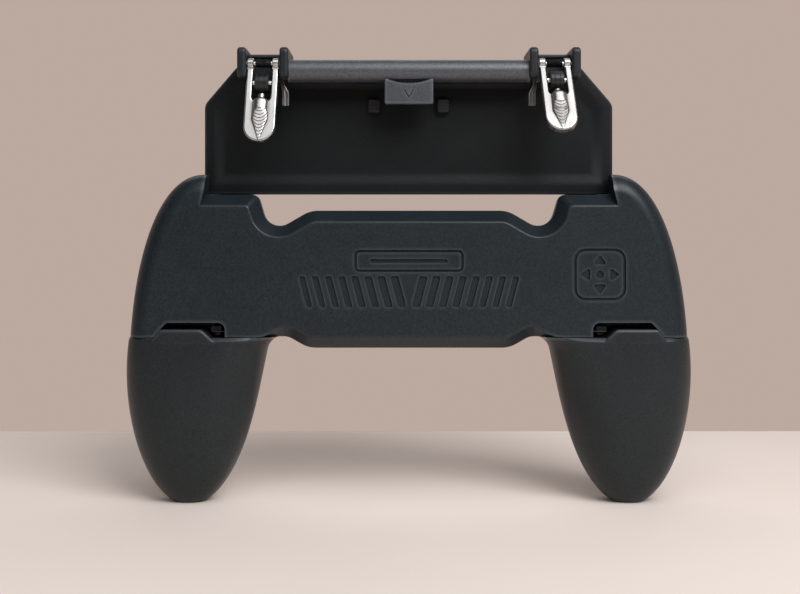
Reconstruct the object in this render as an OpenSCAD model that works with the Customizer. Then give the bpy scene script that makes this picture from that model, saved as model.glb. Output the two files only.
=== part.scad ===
// Mobile game controller: a spring clamp for a phone, two trigger levers and two folding grips.
// Millimetres, +Z up. The front faces -Y and the grip tips stand on Z = 0.

/* [Body] */
// Depth of the body, front face to rear face
body_depth = 20; // [18:0.5:24]
// Height of the parting line between the body and the grips
grip_h = 51.5; // [47:0.5:57]
// Height of the centre bar
bar_h = 42; // [38:0.5:46]
// Drop of the centre bar below the parting line
bar_drop = 3.5; // [2.5:0.25:4.5]
// Rise of the side ledges above the centre bar
ledge_rise = 4.9; // [4.5:0.1:7]
// Rise of the shoulder peaks above the ledges
shoulder_rise = 6.2; // [5.5:0.1:8]
// Half width of the notch between the shoulder lips
notch_half = 61.9; // [58:0.1:68]
// Distance of a shoulder's crown outside the notch
crown_off = 3.1; // [2.6:0.1:3.6]
// Reach of a shoulder outside its crown
shoulder_reach = 22.3; // [21:0.1:23]
// Wall of the body shells
wall = 1.7; // [1.4:0.1:1.9]
// Width of the bevel band on the front edges
bevel_w = 3.5; // [2:0.1:3.6]

/* [Grips] */
// Width of a grip at the parting line
grip_w = 43.8; // [40:0.2:45]
// Distance of a grip's tip outside the shoulder's crown
tip_off = 3; // [1.5:0.1:4]
// Depth of a grip in front of its seam
grip_front_r = 15; // [14:0.1:16]
// Extra bulge of a grip behind its seam
grip_bulge = 10; // [7:0.5:11]
// Wall of the grip shells
grip_wall = 2.4; // [1.8:0.1:3]
// Diameter of a grip hinge pin
hinge_pin_d = 3; // [2.5:0.1:3.4]
// Outside diameter of the grip hinge barrels
hinge_barrel_d = 6; // [5.5:0.1:6.4]

/* [Clamp] */
// Reach of the clamp panel behind each shoulder lip
lip_w = 1.9; // [1.6:0.1:2.2]
// Height of the clamp panel
panel_h = 39.8; // [37:0.2:42]
// Thickness of the clamp panel
panel_t = 2.6; // [2.4:0.1:2.8]
// Corner chamfer of the clamp panel
panel_chamfer = 10; // [8:0.5:11]
// Diameter of the bar across the top of the clamp
top_bar_d = 6.8; // [6:0.1:7.2]
// Height of the hood ears above the panel's top edge
ear_rise = 4.1; // [3.6:0.1:5]
// Thickness of a hood ear
ear_t = 2.7; // [2.2:0.1:2.9]
// Width of a slide rail
rail_w = 9.5; // [9:0.1:10]
// Thickness of a slide rail
rail_t = 3.6; // [3.4:0.1:3.7]
// Travel of the clamp from closed to open
clamp_travel = 35; // [30:0.5:35]
// Width of the phone retainer
retainer_w = 14.8; // [12:0.2:16]

/* [Triggers] */
// Half distance between the two trigger levers
trigger_x = 43.9; // [43.5:0.1:44.2]
// Length of a lever from its pivot to its tip
lever_len = 24.8; // [24:0.1:27]
// Width of a lever
lever_w = 9.5; // [9.2:0.1:9.6]
// Thickness of a lever plate
lever_t = 2.2; // [1.8:0.1:2.6]
// Width of the slot between a lever's two arms
fork_w = 5.6; // [5.4:0.1:5.8]
// Diameter of a trigger pivot pin
trigger_pin_d = 1.4; // [1.2:0.1:1.6]
// Forward tilt of the left lever at rest
left_tilt = 13.6; // [8:0.2:20]
// Forward tilt of the right lever at rest
right_tilt = 30; // [24:0.5:36]

/* [Springs and screws] */
// Outside diameter of a clamp tension spring
spring_d = 2.3; // [2:0.05:2.35]
// Wire of a clamp tension spring
spring_wire = 0.45; // [0.4:0.05:0.5]
// Shank diameter of the shell and grip screws
screw_d = 2.4; // [2:0.1:2.6]

/* [Hidden] */
$fn = 64;

// Colours as seen in the photograph
shell_black = [0.15, 0.16, 0.17];
grip_black = [0.11, 0.115, 0.12];
nickel = [0.72, 0.71, 0.69];
steel = [0.55, 0.56, 0.58];
rubber_black = [0.05, 0.05, 0.05];

// Clearances
press_gap = 0.02;
run_gap = 0.05;
slide_gap = 0.2;
part_gap = 0.3;

// Heights and depths of the body
y_front = -body_depth / 2;
y_rear = body_depth / 2;
bar_bottom = grip_h - bar_drop;
bar_top = bar_bottom + bar_h;
ledge_z = bar_top + ledge_rise;
shoulder_z = ledge_z + shoulder_rise;
widest_z = 0.703 * grip_h;
crown_x = notch_half + crown_off;
tip_x = crown_x + tip_off;
crown_power = 2.15;

// The dent in the top edge and the arch in the bottom edge, beside the centre bar
dent_x = notch_half - 22.4;
dent_r = 5.1;
dent_z = bar_top + 0.5;
dent_from = 240;
dent_to = 343.4;
arch_x = notch_half - 23.5;
arch_r = 5.6;
arch_end = 120;

// The clamp closes against the ledges, and its rails run down behind the panel
panel_gap = 0.3;
rail_gap = 0.1;
panel_y = y_rear - wall - rail_gap - rail_t - panel_t;
panel_rear = panel_y + panel_t;
panel_bottom = ledge_z + panel_gap;
panel_top = panel_bottom + panel_h;
panel_half = notch_half + lip_w;
rear_notch_half = panel_half + 0.4;
rail_x = notch_half - 7.15;
rail_foot = grip_h + 3.7;
rail_top = panel_bottom + 26.8;
rail_groove = rail_top - 10.5;
rail_web = 0.8;
groove_w = 2.9;
lug_h = 1.5;
lug_w = 1.25;
guide_wall = 1.15;
guide_h = ledge_z - (rail_foot + lug_h + clamp_travel + 0.5);

// Hood over the panel
bar_y = panel_y - 9.6;
bar_z = panel_top - 2.65;
shelf_t = 2;
shelf_top = panel_top + 0.2;
rib_y = panel_y - 3.5;
ear_front = panel_y - 15;
ear_bottom = panel_top - 5.4;
ear_top = panel_top + ear_rise;
ear_round = 2.5;
ear_gap = 0.25;
bar_sink = 0.5;
ear_in = trigger_x - lever_w / 2 - ear_gap - ear_t;
ear_out = trigger_x + lever_w / 2 + ear_gap;

// Phone retainer, which slides in a slot in the bar
retainer_front = panel_y - 13;
retainer_t = 2.8;
retainer_bottom = panel_top - 13;
retainer_top = bar_z - top_bar_d / 2 - 0.25;
tongue_w = 10;
tongue_front = panel_y - 10.9;
tongue_rear = panel_y - 8.4;
tongue_top = bar_z + 1.75;
tongue_step = 3;

// Trigger levers
pivot_y = panel_y - 12;
pivot_z = panel_top - 0.7;
knuckle_r = 1.5;
fork_len = 12.2;
roller_drop = 6.3;
roller_r = 2.7;
roller_side = 0.7;
roller_w = fork_w - 2 * roller_side;
roller_pin_d = 1.6;
bullet_r = 2.25;
bullet_top = fork_len - 0.9;
bullet_straight = 6.1;
bullet_sink = 0.5;
stub_r = 1;
stub_len = 2.2;

// Grips and their fold hinge
grip_half = grip_w / 2;
grip_cut = 1.3;
grip_top = grip_h - part_gap;
grip_lean = 2.8;
grip_rear_r = 4.7;
seam_tip_y = 1;
seam_rise = 3.2;
flare_from = 0.909 * grip_h;
flare_w = 3.4;
hinge_y = y_rear - 0.8;
hinge_z = grip_h;
barrel_r = hinge_barrel_d / 2;
knuckle_in = crown_x - 5.6;
knuckle_out = crown_x + 9.6;
hinge_in = crown_x - 11;
hinge_out = crown_x + 15;
knuckle_gap = 0.2;

// Tab on each grip and the pocket that it shows in
tab_rise = 2.5;
tab_in = crown_x - 2.8;
tab_out = crown_x + 9.3;
tab_foot_in = crown_x - 7.9;
tab_foot_out = crown_x + 13.2;
tab_front = y_front - 0.6;
tab_t = 2.2;
pocket_in = crown_x - 11;
pocket_out = crown_x + 13.7;
pocket_rise = 4.8;
pocket_floor = y_front + 2.6;
pocket_wall = 1.6;
catch_w = 2.8;

// Screws
head_d = 2 * screw_d;
head_h = 1.8;
small_screw_d = 2;
rail_screw_d = 1.6;
small_head_d = 3.8;
small_head_h = 1.4;
bar_screw_x = 24;
shell_screw_places = [
  [bar_screw_x, bar_bottom + 6.5], [bar_screw_x, bar_top - 7],
  [crown_x + 9, grip_h + 14.5], [crown_x + 6.5, ledge_z - 7]
];
shell_screw_y = 4;
shell_screw_len = 10;
grip_screw_places = [[tip_x, 0.27 * grip_h], [tip_x - 3, 0.66 * grip_h]];
grip_screw_y = 4;
grip_screw_len = 10.5;
rail_screw_z = [rail_top - 8, rail_top - 2.5];
hood_screw_x = [18, 45.5];
hood_screw_z = panel_top - 2.5;
hood_screw_len = panel_t + 2.6;
rail_screw_len = rail_t + 1;

// The frame's middle in depth: halfway between the right lever's tip and the grips' backs
reach_front = pivot_y - lever_len * sin(right_tilt) - 0.55;
reach_rear = 16.55 + (grip_bulge - 10) * 0.95;
frame_y = -(reach_front + reach_rear) / 2;

// Small functions
function unit(v) = v / norm(v);
function smooth(t) = let (s = max(0, min(1, t))) s * s * (3 - 2 * s);
function signed_pow(v, p) = sign(v) * pow(abs(v), p);
function mix(a, b, t) = a + (b - a) * t;

// Moves each corner of a clockwise outline inward by the distances given for its edges
function edge_normal(p, q) = let (t = unit(q - p)) [-t[1], t[0]];
function inset_point(p, n1, n2, d1, d2) =
  let (c = n1 * n2)
  c > 0.8
    ? p - (d1 + d2) / 2 * (n1 + n2) / (1 + c)
    : p - (d1 * (n1 - c * n2) + d2 * (n2 - c * n1)) / (1 - c * c);
function inset(pts, d) =
  let (n = len(pts))
  [for (k = [0 : n - 1])
    let (before = (k + n - 1) % n, after = (k + 1) % n)
    inset_point(pts[k], edge_normal(pts[before], pts[k]), edge_normal(pts[k], pts[after]), d[before], d[k])];

// Cuts a clockwise outline into triangles, one ear at a time
function turn(a, b, c) = (b[1] - a[1]) * (c[0] - a[0]) - (b[0] - a[0]) * (c[1] - a[1]);
function in_triangle(p, a, b, c) = turn(a, b, p) >= 0 && turn(b, c, p) >= 0 && turn(c, a, p) >= 0;
function is_ear(pts, ids, i) =
  let (
    n = len(ids), h = (i + n - 1) % n, j = (i + 1) % n,
    a = pts[ids[h]], b = pts[ids[i]], c = pts[ids[j]],
    others = [for (k = [0 : n - 1]) if (k != h && k != i && k != j) pts[ids[k]]]
  )
  turn(a, b, c) > 1e-9 && len([for (p = others) if (in_triangle(p, a, b, c)) p]) == 0;
function first_ear(pts, ids, i = 0) =
  i >= len(ids) - 1 || is_ear(pts, ids, i) ? i : first_ear(pts, ids, i + 1);
function ears(pts, ids, done = []) =
  len(ids) == 3
    ? concat(done, [ids])
    : let (n = len(ids), i = first_ear(pts, ids))
      ears(
        pts,
        [for (k = [0 : n - 1]) if (k != i) ids[k]],
        concat(done, [[ids[(i + n - 1) % n], ids[i], ids[(i + 1) % n]]])
      );
function fan(n) = [for (k = [1 : n - 2]) [0, k, k + 1]];

// Skin over a row of rings with equal point counts, closed by a cap at each end
module loft(rings, first_cap, last_cap) {
  n = len(rings[0]);
  last = (len(rings) - 1) * n;
  sides = [for (i = [0 : len(rings) - 2]) for (k = [0 : n - 1])
    let (a = i * n + k, b = i * n + (k + 1) % n)
    each [[a, a + n, b + n], [a, b + n, b]]];
  ends = concat(first_cap, [for (t = last_cap) [last + t[0], last + t[2], last + t[1]]]);
  polyhedron(points = [for (r = rings) each r], faces = concat(sides, ends));
}

// Wire of six sides along a path of points
module wire(path, r) {
  n = len(path);
  rings = [for (i = [0 : n - 1])
    let (
      along = unit(path[min(n - 1, i + 1)] - path[max(0, i - 1)]),
      side = unit(cross(along, abs(along[0]) > 0.8 ? [0, 0, 1] : [1, 0, 0])),
      up = cross(along, side)
    )
    [for (k = [0 : 5]) path[i] + r * (cos(60 * k) * side - sin(60 * k) * up)]];
  loft(rings, fan(6), fan(6));
}

// Puts a design-frame shape into the part's own frame
module placed() {
  translate([0, frame_y, 0]) children();
}

module sided(side) {
  placed() mirror([side < 0 ? 1 : 0, 0, 0]) children();
}

// Outline of the body in front view, clockwise from the top, as [x, z, edge kind].
// Edge kinds: 0 is a bevelled edge, 1 a rounded outer edge, 2 the parting line or the notch's wall.
function crown_point(a) = [
  crown_x + shoulder_reach * pow(cos(a), 2 / crown_power),
  widest_z + (shoulder_z - widest_z) * pow(sin(a), 2 / crown_power)
];
function crown_angle(z) = asin(pow((z - widest_z) / (shoulder_z - widest_z), crown_power / 2));
function dent_point(a) = [dent_x + dent_r * cos(a), dent_z + dent_r * sin(a)];
function half_outline(notch, peaked) =
  let (
    dent_left = dent_point(dent_from),
    dent_right = dent_point(dent_to),
    dent_start = dent_left[0] - (bar_top - dent_left[1]) / tan(30),
    ledge_in = dent_right[0] + (ledge_z - dent_right[1]) * tan(360 - dent_to),
    from = peaked ? 84 : crown_angle(ledge_z),
    to = crown_angle(grip_h),
    crown_steps = 12,
    arch_z = grip_h - arch_r,
    arch_left = [arch_x + arch_r * cos(arch_end), arch_z + arch_r * sin(arch_end)]
  )
  concat(
    [[dent_start, bar_top, 0]],
    [for (i = [0 : 7]) let (p = dent_point(mix(dent_from, dent_to, i / 7))) [p[0], p[1], 0]],
    [[ledge_in, ledge_z, 0]],
    peaked
      ? [[notch, ledge_z, 2], [notch, shoulder_z, 1]]
      : [[notch - 4, ledge_z - 0.02, 0], [notch + 4, ledge_z - 0.01, 0]],
    [for (i = [0 : crown_steps])
      let (a = mix(from, to, i / crown_steps), p = crown_point(a))
      [p[0], p[1], i == crown_steps ? 2 : 1]],
    [for (i = [0 : 3])
      let (a = mix(90, arch_end, i / 3))
      [arch_x + arch_r * cos(a), arch_z + arch_r * sin(a), 0]],
    [[arch_left[0] - (arch_left[1] - bar_bottom) / tan(30), bar_bottom, 0]]
  );
function outline(notch, peaked) =
  let (h = half_outline(notch, peaked), m = len(h) - 1)
  concat(h, [for (k = [m : -1 : 0]) [-h[k][0], h[k][1], k == 0 ? 0 : h[k - 1][2]]]);
function edge_inset(kind, bevel, round_off, part) = kind > 1 ? part : mix(bevel, round_off, kind);
function body_ring(shape, y, bevel, round_off, part) =
  let (
    corners = [for (p = shape) [p[0], p[1]]],
    depths = [for (p = shape) edge_inset(p[2], bevel, round_off, part)]
  )
  [for (p = inset(corners, depths)) [p[0], y, p[1]]];
function front_view(ring) = [for (p = ring) [p[0], p[2]]];

// A shell is one skin: outside rings, the rim at the seam, then the rings of its hollow
module shell_skin(rings) {
  n = len(rings[0]);
  ids = [for (k = [0 : n - 1]) k];
  loft(rings, ears(front_view(rings[0]), ids), ears(front_view(rings[len(rings) - 1]), ids));
}

module front_skin() {
  outside = outline(notch_half, true);
  hollow = outline(notch_half, false);
  b = bevel_w;
  shell_skin([
    body_ring(outside, y_front, b, 8, 0.9),
    body_ring(outside, y_front + 0.9, 0.8 * b, 4.8, 0.3),
    body_ring(outside, y_front + 2.8, 0.37 * b, 2, 0),
    body_ring(outside, y_front + 4.5, 0, 0.7, 0),
    body_ring(outside, y_front + 7, 0, 0, 0),
    body_ring(outside, 0, 0, 0, 0),
    body_ring(hollow, 0, wall, wall, wall),
    body_ring(hollow, y_front + 5, wall, wall + 0.9, wall),
    body_ring(hollow, y_front + 2.9, wall + 0.45 * b, wall + 3.2, wall),
    body_ring(hollow, y_front + wall, wall + 0.75 * b, wall + 6, wall + 0.2)
  ]);
}

module rear_skin() {
  outside = outline(rear_notch_half, true);
  hollow = outline(notch_half, false);
  shell_skin([
    body_ring(hollow, y_rear - wall, wall + 1.4, wall + 3.6, wall + 0.2),
    body_ring(hollow, y_rear - 2.6, wall + 0.6, wall + 1.4, wall),
    body_ring(hollow, y_rear - 5, wall, wall, wall),
    body_ring(hollow, 0, wall, wall, wall),
    body_ring(outside, 0, 0, 0, 0),
    body_ring(outside, y_rear - 4, 0, 0, 0),
    body_ring(outside, y_rear - 2, 0.4, 1.2, 0),
    body_ring(outside, y_rear - 0.6, 1.3, 3, 0.2),
    body_ring(outside, y_rear, 2, 5, 0.6)
  ]);
}

// A rod along +Y from y0 to y1, and a rod along +X from x0 to x1
module rod_y(x, z, d, y0, y1) {
  translate([x, y0, z]) rotate([-90, 0, 0]) cylinder(d = d, h = y1 - y0);
}
module rod_x(y, z, d, x0, x1) {
  translate([x0, y, z]) rotate([0, 90, 0]) cylinder(d = d, h = x1 - x0);
}
module box(x0, x1, y0, y1, z0, z1) {
  translate([x0, y0, z0]) cube([x1 - x0, y1 - y0, z1 - z0]);
}
module both_sides() {
  children();
  mirror([1, 0, 0]) children();
}

// Front half of the body, with the pockets for the grips' tabs
module front_shell() {
  color(shell_black) placed() difference() {
    union() {
      front_skin();
      both_sides() {
        for (p = shell_screw_places) rod_y(p[0], p[1], screw_d + 3.4, y_front + wall - 0.6, -press_gap);
        box(
          pocket_in - pocket_wall, pocket_out + pocket_wall,
          y_front + 1.2, pocket_floor + pocket_wall,
          grip_h + 0.4, grip_h + pocket_rise + pocket_wall
        );
      }
    }
    both_sides() {
      for (p = shell_screw_places) {
        rod_y(p[0], p[1], screw_d + 2 * press_gap, shell_screw_y - shell_screw_len - 0.5, 1);
      }
      box(pocket_in, pocket_out, y_front - 1, pocket_floor, grip_h - 1, grip_h + pocket_rise);
    }
  }
}

// Rear half of the body: screw posts, rail slots, spring posts and the grips' hinge barrels
module rear_shell() {
  color(shell_black) placed() difference() {
    union() {
      rear_skin();
      both_sides() {
        for (p = shell_screw_places) rod_y(p[0], p[1], head_d + 2.4, press_gap, y_rear - wall + 0.6);
        rod_x(hinge_y, hinge_z, hinge_barrel_d, hinge_in, knuckle_in - knuckle_gap);
        rod_x(hinge_y, hinge_z, hinge_barrel_d, knuckle_out + knuckle_gap, hinge_out);
        translate([rail_x, panel_rear + rail_t / 2 - rail_web / 2, grip_h + 0.5])
          cylinder(d = groove_w - 1.1, h = spring_foot - grip_h - 0.5);
      }
    }
    both_sides() {
      for (p = shell_screw_places) {
        rod_y(p[0], p[1], screw_d + 0.4, -1, y_rear + 1);
        rod_y(p[0], p[1], head_d + 0.4, shell_screw_y, y_rear + 1);
      }
      rod_x(hinge_y, hinge_z, hinge_barrel_d + 0.8, knuckle_in - knuckle_gap, knuckle_out + knuckle_gap);
      rod_x(hinge_y, hinge_z, hinge_pin_d + 2 * press_gap, hinge_in - 1, hinge_out + 1);
      box(
        rail_x - guide_half_w - press_gap, rail_x + guide_half_w + press_gap,
        guide_front - press_gap, y_rear - wall,
        ledge_z - wall - 3, ledge_z + 1
      );
    }
  }
}

// Screws that hold the two body shells together
module screw_y(x, z, y_head, length, d, head_w, head_len) {
  rod_y(x, z, head_w, y_head, y_head + head_len);
  rod_y(x, z, d, y_head - length, y_head + 0.01);
}
module shell_screws() {
  color(steel) placed() both_sides()
    for (p = shell_screw_places) screw_y(p[0], p[1], shell_screw_y, shell_screw_len, screw_d, head_d, head_h);
}

// Collar in the ledge that each slide rail runs through
guide_half_w = rail_w / 2 + slide_gap + guide_wall;
guide_front = panel_rear - slide_gap - guide_wall;
module rail_guide(side) {
  color(rubber_black) sided(side) difference() {
    box(
      rail_x - guide_half_w, rail_x + guide_half_w,
      guide_front, y_rear - wall - press_gap,
      ledge_z - guide_h, ledge_z
    );
    box(
      rail_x - rail_w / 2 - slide_gap, rail_x + rail_w / 2 + slide_gap,
      panel_rear - slide_gap, y_rear,
      ledge_z - guide_h - 1, ledge_z + 1
    );
  }
}

// Pin of a grip's fold hinge
module hinge_pin(side) {
  color(steel) sided(side) rod_x(hinge_y, hinge_z, hinge_pin_d, hinge_in + 0.1, hinge_out - 0.1);
}

// Sprung catch at the inner end of the pocket, which holds the unfolded grip's tab
module latch_catch(side) {
  color(rubber_black) sided(side)
    box(
      pocket_in + press_gap, pocket_in + catch_w,
      y_front + 0.5, pocket_floor - press_gap,
      grip_h + 0.6, grip_h + pocket_rise - press_gap
    );
}

// Tension spring in the groove of a slide rail: it pulls the clamp down onto the phone
spring_foot = rail_foot + 1.8;
spring_turns = 22;
spring_steps = 8;
spring_mean = (spring_d - spring_wire) / 2;
spring_y = panel_rear + (rail_t - rail_web) / 2;
spring_low = spring_foot + spring_wire / 2 + press_gap;
spring_high = rail_groove - spring_wire / 2 - press_gap;
spring_path = [for (i = [0 : spring_turns * spring_steps])
  let (t = i / (spring_turns * spring_steps), a = 360 * spring_turns * t)
  [rail_x + spring_mean * cos(a), spring_y + spring_mean * sin(a), mix(spring_low, spring_high, t)]];
spring_gap = min([for (i = [spring_steps : spring_turns * spring_steps]) for (back = [6 : spring_steps])
  norm(spring_path[i] - spring_path[i - back])]) - spring_wire;
module tension_spring(side) {
  echo(least_gap_in_tension_spring = spring_gap);
  color(steel) sided(side) wire(spring_path, spring_wire / 2);
}

// Panel that rises behind the phone, a shallow tray with a raised rim
panel_rim = 3;
tray_depth = 1;
module panel_outline(d) {
  side = panel_half - d;
  corner = panel_half - panel_chamfer - 0.45 * d;
  low = panel_bottom + d;
  bend = panel_top - 1.17 * panel_chamfer - 0.45 * d;
  high = panel_top - d;
  polygon([[-side, low], [side, low], [side, bend], [corner, high], [-corner, high], [-side, bend]]);
}
module front_plate(y0, y1) {
  translate([0, y1, 0]) rotate([90, 0, 0]) linear_extrude(y1 - y0) children();
}
module clamp_panel() {
  color(shell_black) placed() difference() {
    front_plate(panel_y, panel_rear) panel_outline(0);
    difference() {
      front_plate(panel_y - 1, panel_y + tray_depth) panel_outline(panel_rim);
      box(-ear_out - ear_t - 1, ear_out + ear_t + 1, panel_y - 2, panel_rear, ear_bottom - 0.5, panel_top);
    }
    both_sides() {
      for (x = hood_screw_x) rod_y(x, hood_screw_z, small_screw_d + 0.2, panel_y - 1, panel_rear + 1);
      for (z = rail_screw_z)
        rod_y(rail_x, z, rail_screw_d + 2 * press_gap, panel_y + tray_depth + 0.4, panel_rear + 1);
    }
  }
}

// Hood on top of the panel: shelf, front bar, ears for the triggers and the walls behind them
module ear_profile() {
  polygon(concat(
    [[panel_y, ear_bottom], [panel_y, panel_top + press_gap], [panel_rear, panel_top + press_gap]],
    [[panel_rear, ear_top]],
    [for (a = [0 : 15 : 90])
      [ear_front + ear_round - ear_round * sin(a), ear_top - ear_round + ear_round * cos(a)]],
    [for (a = [0 : 15 : 90])
      [ear_front + 2 - 2 * cos(a), ear_bottom + 2 - 2 * sin(a)]]
  ));
}
module ear(x) {
  translate([x, 0, 0]) rotate([90, 0, 90]) linear_extrude(ear_t) ear_profile();
}
module clamp_hood() {
  color(shell_black) placed() difference() {
    union() {
      rod_x(bar_y, bar_z, top_bar_d, -ear_in - bar_sink, ear_in + bar_sink);
      box(-ear_in - 1, ear_in + 1, bar_y, panel_y, shelf_top - shelf_t, shelf_top);
      box(-ear_out - ear_t / 2, ear_out + ear_t / 2, rib_y, panel_y, ear_bottom, shelf_top);
      both_sides() {
        ear(ear_in);
        ear(ear_out);
        box(ear_in + 1, ear_out + 1, panel_y, panel_rear, panel_top + press_gap, ear_top);
      }
    }
    box(
      -tongue_w / 2 - slide_gap, tongue_w / 2 + slide_gap,
      tongue_front - slide_gap, tongue_rear + slide_gap,
      bar_z - top_bar_d, tongue_top + 0.3
    );
    both_sides() {
      rod_x(pivot_y, pivot_z, trigger_pin_d + 2 * press_gap, ear_in - 1, ear_out + ear_t + 1);
      for (x = hood_screw_x) rod_y(x, hood_screw_z, small_screw_d + 2 * press_gap, rib_y + 0.5, panel_y + 1);
    }
  }
}

// Slide rail: a channel that holds the spring, a solid head for its screws and a stop lug at the foot
module slide_rail(side) {
  color(shell_black) sided(side) difference() {
    union() {
      box(
        rail_x - rail_w / 2, rail_x + rail_w / 2, panel_rear, panel_rear + rail_t,
        rail_foot, rail_top
      );
      box(
        rail_x - rail_w / 2 - lug_w, rail_x + rail_w / 2 + lug_w, panel_rear, panel_rear + rail_t,
        rail_foot, rail_foot + lug_h
      );
    }
    box(
      rail_x - groove_w / 2, rail_x + groove_w / 2, panel_rear - 1, panel_rear + rail_t - rail_web,
      rail_foot - 1, rail_groove
    );
    for (z = rail_screw_z) rod_y(rail_x, z, rail_screw_d + 0.2, panel_rear - 1, panel_rear + rail_t + 1);
  }
}

// Screws that hold the rails and the hood to the panel
module rail_screws() {
  color(steel) placed() both_sides()
    for (z = rail_screw_z)
      screw_y(rail_x, z, panel_rear + rail_t, rail_screw_len, rail_screw_d, small_head_d, small_head_h);
}
module hood_screws() {
  color(steel) placed() both_sides()
    for (x = hood_screw_x)
      screw_y(x, hood_screw_z, panel_rear, hood_screw_len, small_screw_d, small_head_d, small_head_h);
}

// Two small pads that keep the phone off the tray
pad_x = 10.8;
pad_w = 3.9;
pad_h = 4.5;
pad_drop = 10;
pad_t = 2;
module panel_pads() {
  color(rubber_black) placed() both_sides()
    box(
      pad_x - pad_w / 2, pad_x + pad_w / 2, panel_y - pad_t, panel_y + tray_depth,
      panel_top - pad_drop - pad_h, panel_top - pad_drop
    );
}

// Bent metal strip that hangs under each inner ear
strip_w = 2;
strip_t = 0.6;
strip_y = panel_y - 8.4;
module contact_strip(side) {
  top_x = ear_in + ear_t - strip_w;
  low_x = top_x - 1.8;
  color(nickel) sided(side)
    front_plate(strip_y, strip_y + strip_t)
      polygon([
        [top_x, ear_bottom], [top_x, ear_bottom - 1.2], [low_x, ear_bottom - 4], [low_x, ear_bottom - 7.6],
        [low_x + strip_w, ear_bottom - 7.6], [low_x + strip_w, ear_bottom - 3.4],
        [top_x + strip_w, ear_bottom - 0.6], [top_x + strip_w, ear_bottom]
      ]);
}

// Pivot pin of a trigger, held in the two ears
module trigger_pin(side) {
  color(steel) sided(side) rod_x(pivot_y, pivot_z, trigger_pin_d, ear_in + 0.1, ear_out + ear_t - 0.1);
}

// Torsion spring on a trigger's pin, between the lever's two arms
coil_wire = 0.45;
coil_turns = 3.5;
coil_steps = 8;
coil_mean = (trigger_pin_d / 2 + coil_wire / 2 + press_gap) / cos(180 / coil_steps);
coil_len = fork_w - 0.6 - coil_wire;
coil_path = [for (i = [0 : coil_turns * coil_steps])
  let (t = i / (coil_turns * coil_steps), a = 360 * coil_turns * t + 90)
  [trigger_x + coil_len * (t - 0.5), pivot_y + coil_mean * cos(a), pivot_z + coil_mean * sin(a)]];
coil_gap = min([for (i = [coil_steps : coil_turns * coil_steps])
  norm(coil_path[i] - coil_path[i - coil_steps])]) - coil_wire;
module trigger_spring(side) {
  echo(least_gap_in_trigger_spring = coil_gap);
  color(rubber_black) sided(side) wire(coil_path, coil_wire / 2);
}

// Shapes of a trigger, drawn hanging straight down from a pivot at the origin
function lever_tilt(side) = side < 0 ? left_tilt : right_tilt;
module at_pivot(side) {
  placed() translate([side * trigger_x, pivot_y, pivot_z]) rotate([-lever_tilt(side), 0, 0]) children();
}
module lever_blank() {
  tip_r = lever_w / 2;
  front_plate(-lever_t / 2, lever_t / 2) difference() {
    union() {
      translate([0, tip_r - lever_len]) circle(tip_r);
      translate([-lever_w / 2, tip_r - lever_len]) square([lever_w, lever_len - tip_r]);
    }
    translate([0, fork_w / 2 - fork_len]) circle(fork_w / 2);
    translate([-fork_w / 2, fork_w / 2 - fork_len]) square([fork_w, fork_len]);
  }
}
module bullet_relief() {
  tip = lever_len - 0.8;
  nose = bullet_top + bullet_straight;
  profile = concat(
    [[0, -bullet_top]],
    [for (a = [15 : 25 : 90]) [bullet_r * sin(a), -bullet_top - 1.2 * (1 - cos(a))]],
    [for (t = [0 : 0.125 : 0.99]) [bullet_r * sqrt(1 - pow(t, 1.7)), -mix(nose, tip, t)]],
    [[0, -tip]]
  );
  intersection() {
    translate([0, bullet_sink - lever_t / 2, 0]) union() {
      rotate_extrude() polygon(profile);
      translate([0, 0, -bullet_top - 0.6]) cylinder(r = stub_r, h = stub_len);
    }
    box(-5, 5, -5, 0, -lever_len, 0);
  }
}
module trigger_lever(side) {
  color(nickel) at_pivot(side) difference() {
    union() {
      lever_blank();
      both_sides() rod_x(0, 0, 2 * knuckle_r, fork_w / 2, lever_w / 2);
      bullet_relief();
    }
    rod_x(0, 0, trigger_pin_d + 2 * run_gap, -lever_w, lever_w);
    rod_x(0, -roller_drop, roller_pin_d + 2 * press_gap, -lever_w, lever_w);
  }
}

// Black roller between the arms of a lever, and its pin
module contact_roller(side) {
  color(rubber_black) at_pivot(side) difference() {
    rod_x(0, -roller_drop, 2 * roller_r, -roller_w / 2, roller_w / 2);
    rod_x(0, -roller_drop, roller_pin_d + 2 * press_gap, -roller_w, roller_w);
  }
}
module roller_pin(side) {
  color(nickel) at_pivot(side) rod_x(0, -roller_drop, roller_pin_d, 0.05 - lever_w / 2, lever_w / 2 - 0.05);
}

// Hook tab that slides down over the phone's edge, with its tongue inside the bar
module phone_retainer() {
  color(shell_black) placed() union() {
    box(
      -retainer_w / 2, retainer_w / 2, retainer_front, retainer_front + retainer_t,
      retainer_bottom, retainer_top
    );
    box(-tongue_w / 2, tongue_w / 2, tongue_front, tongue_rear, retainer_bottom + tongue_step, tongue_top);
  }
}

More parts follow.
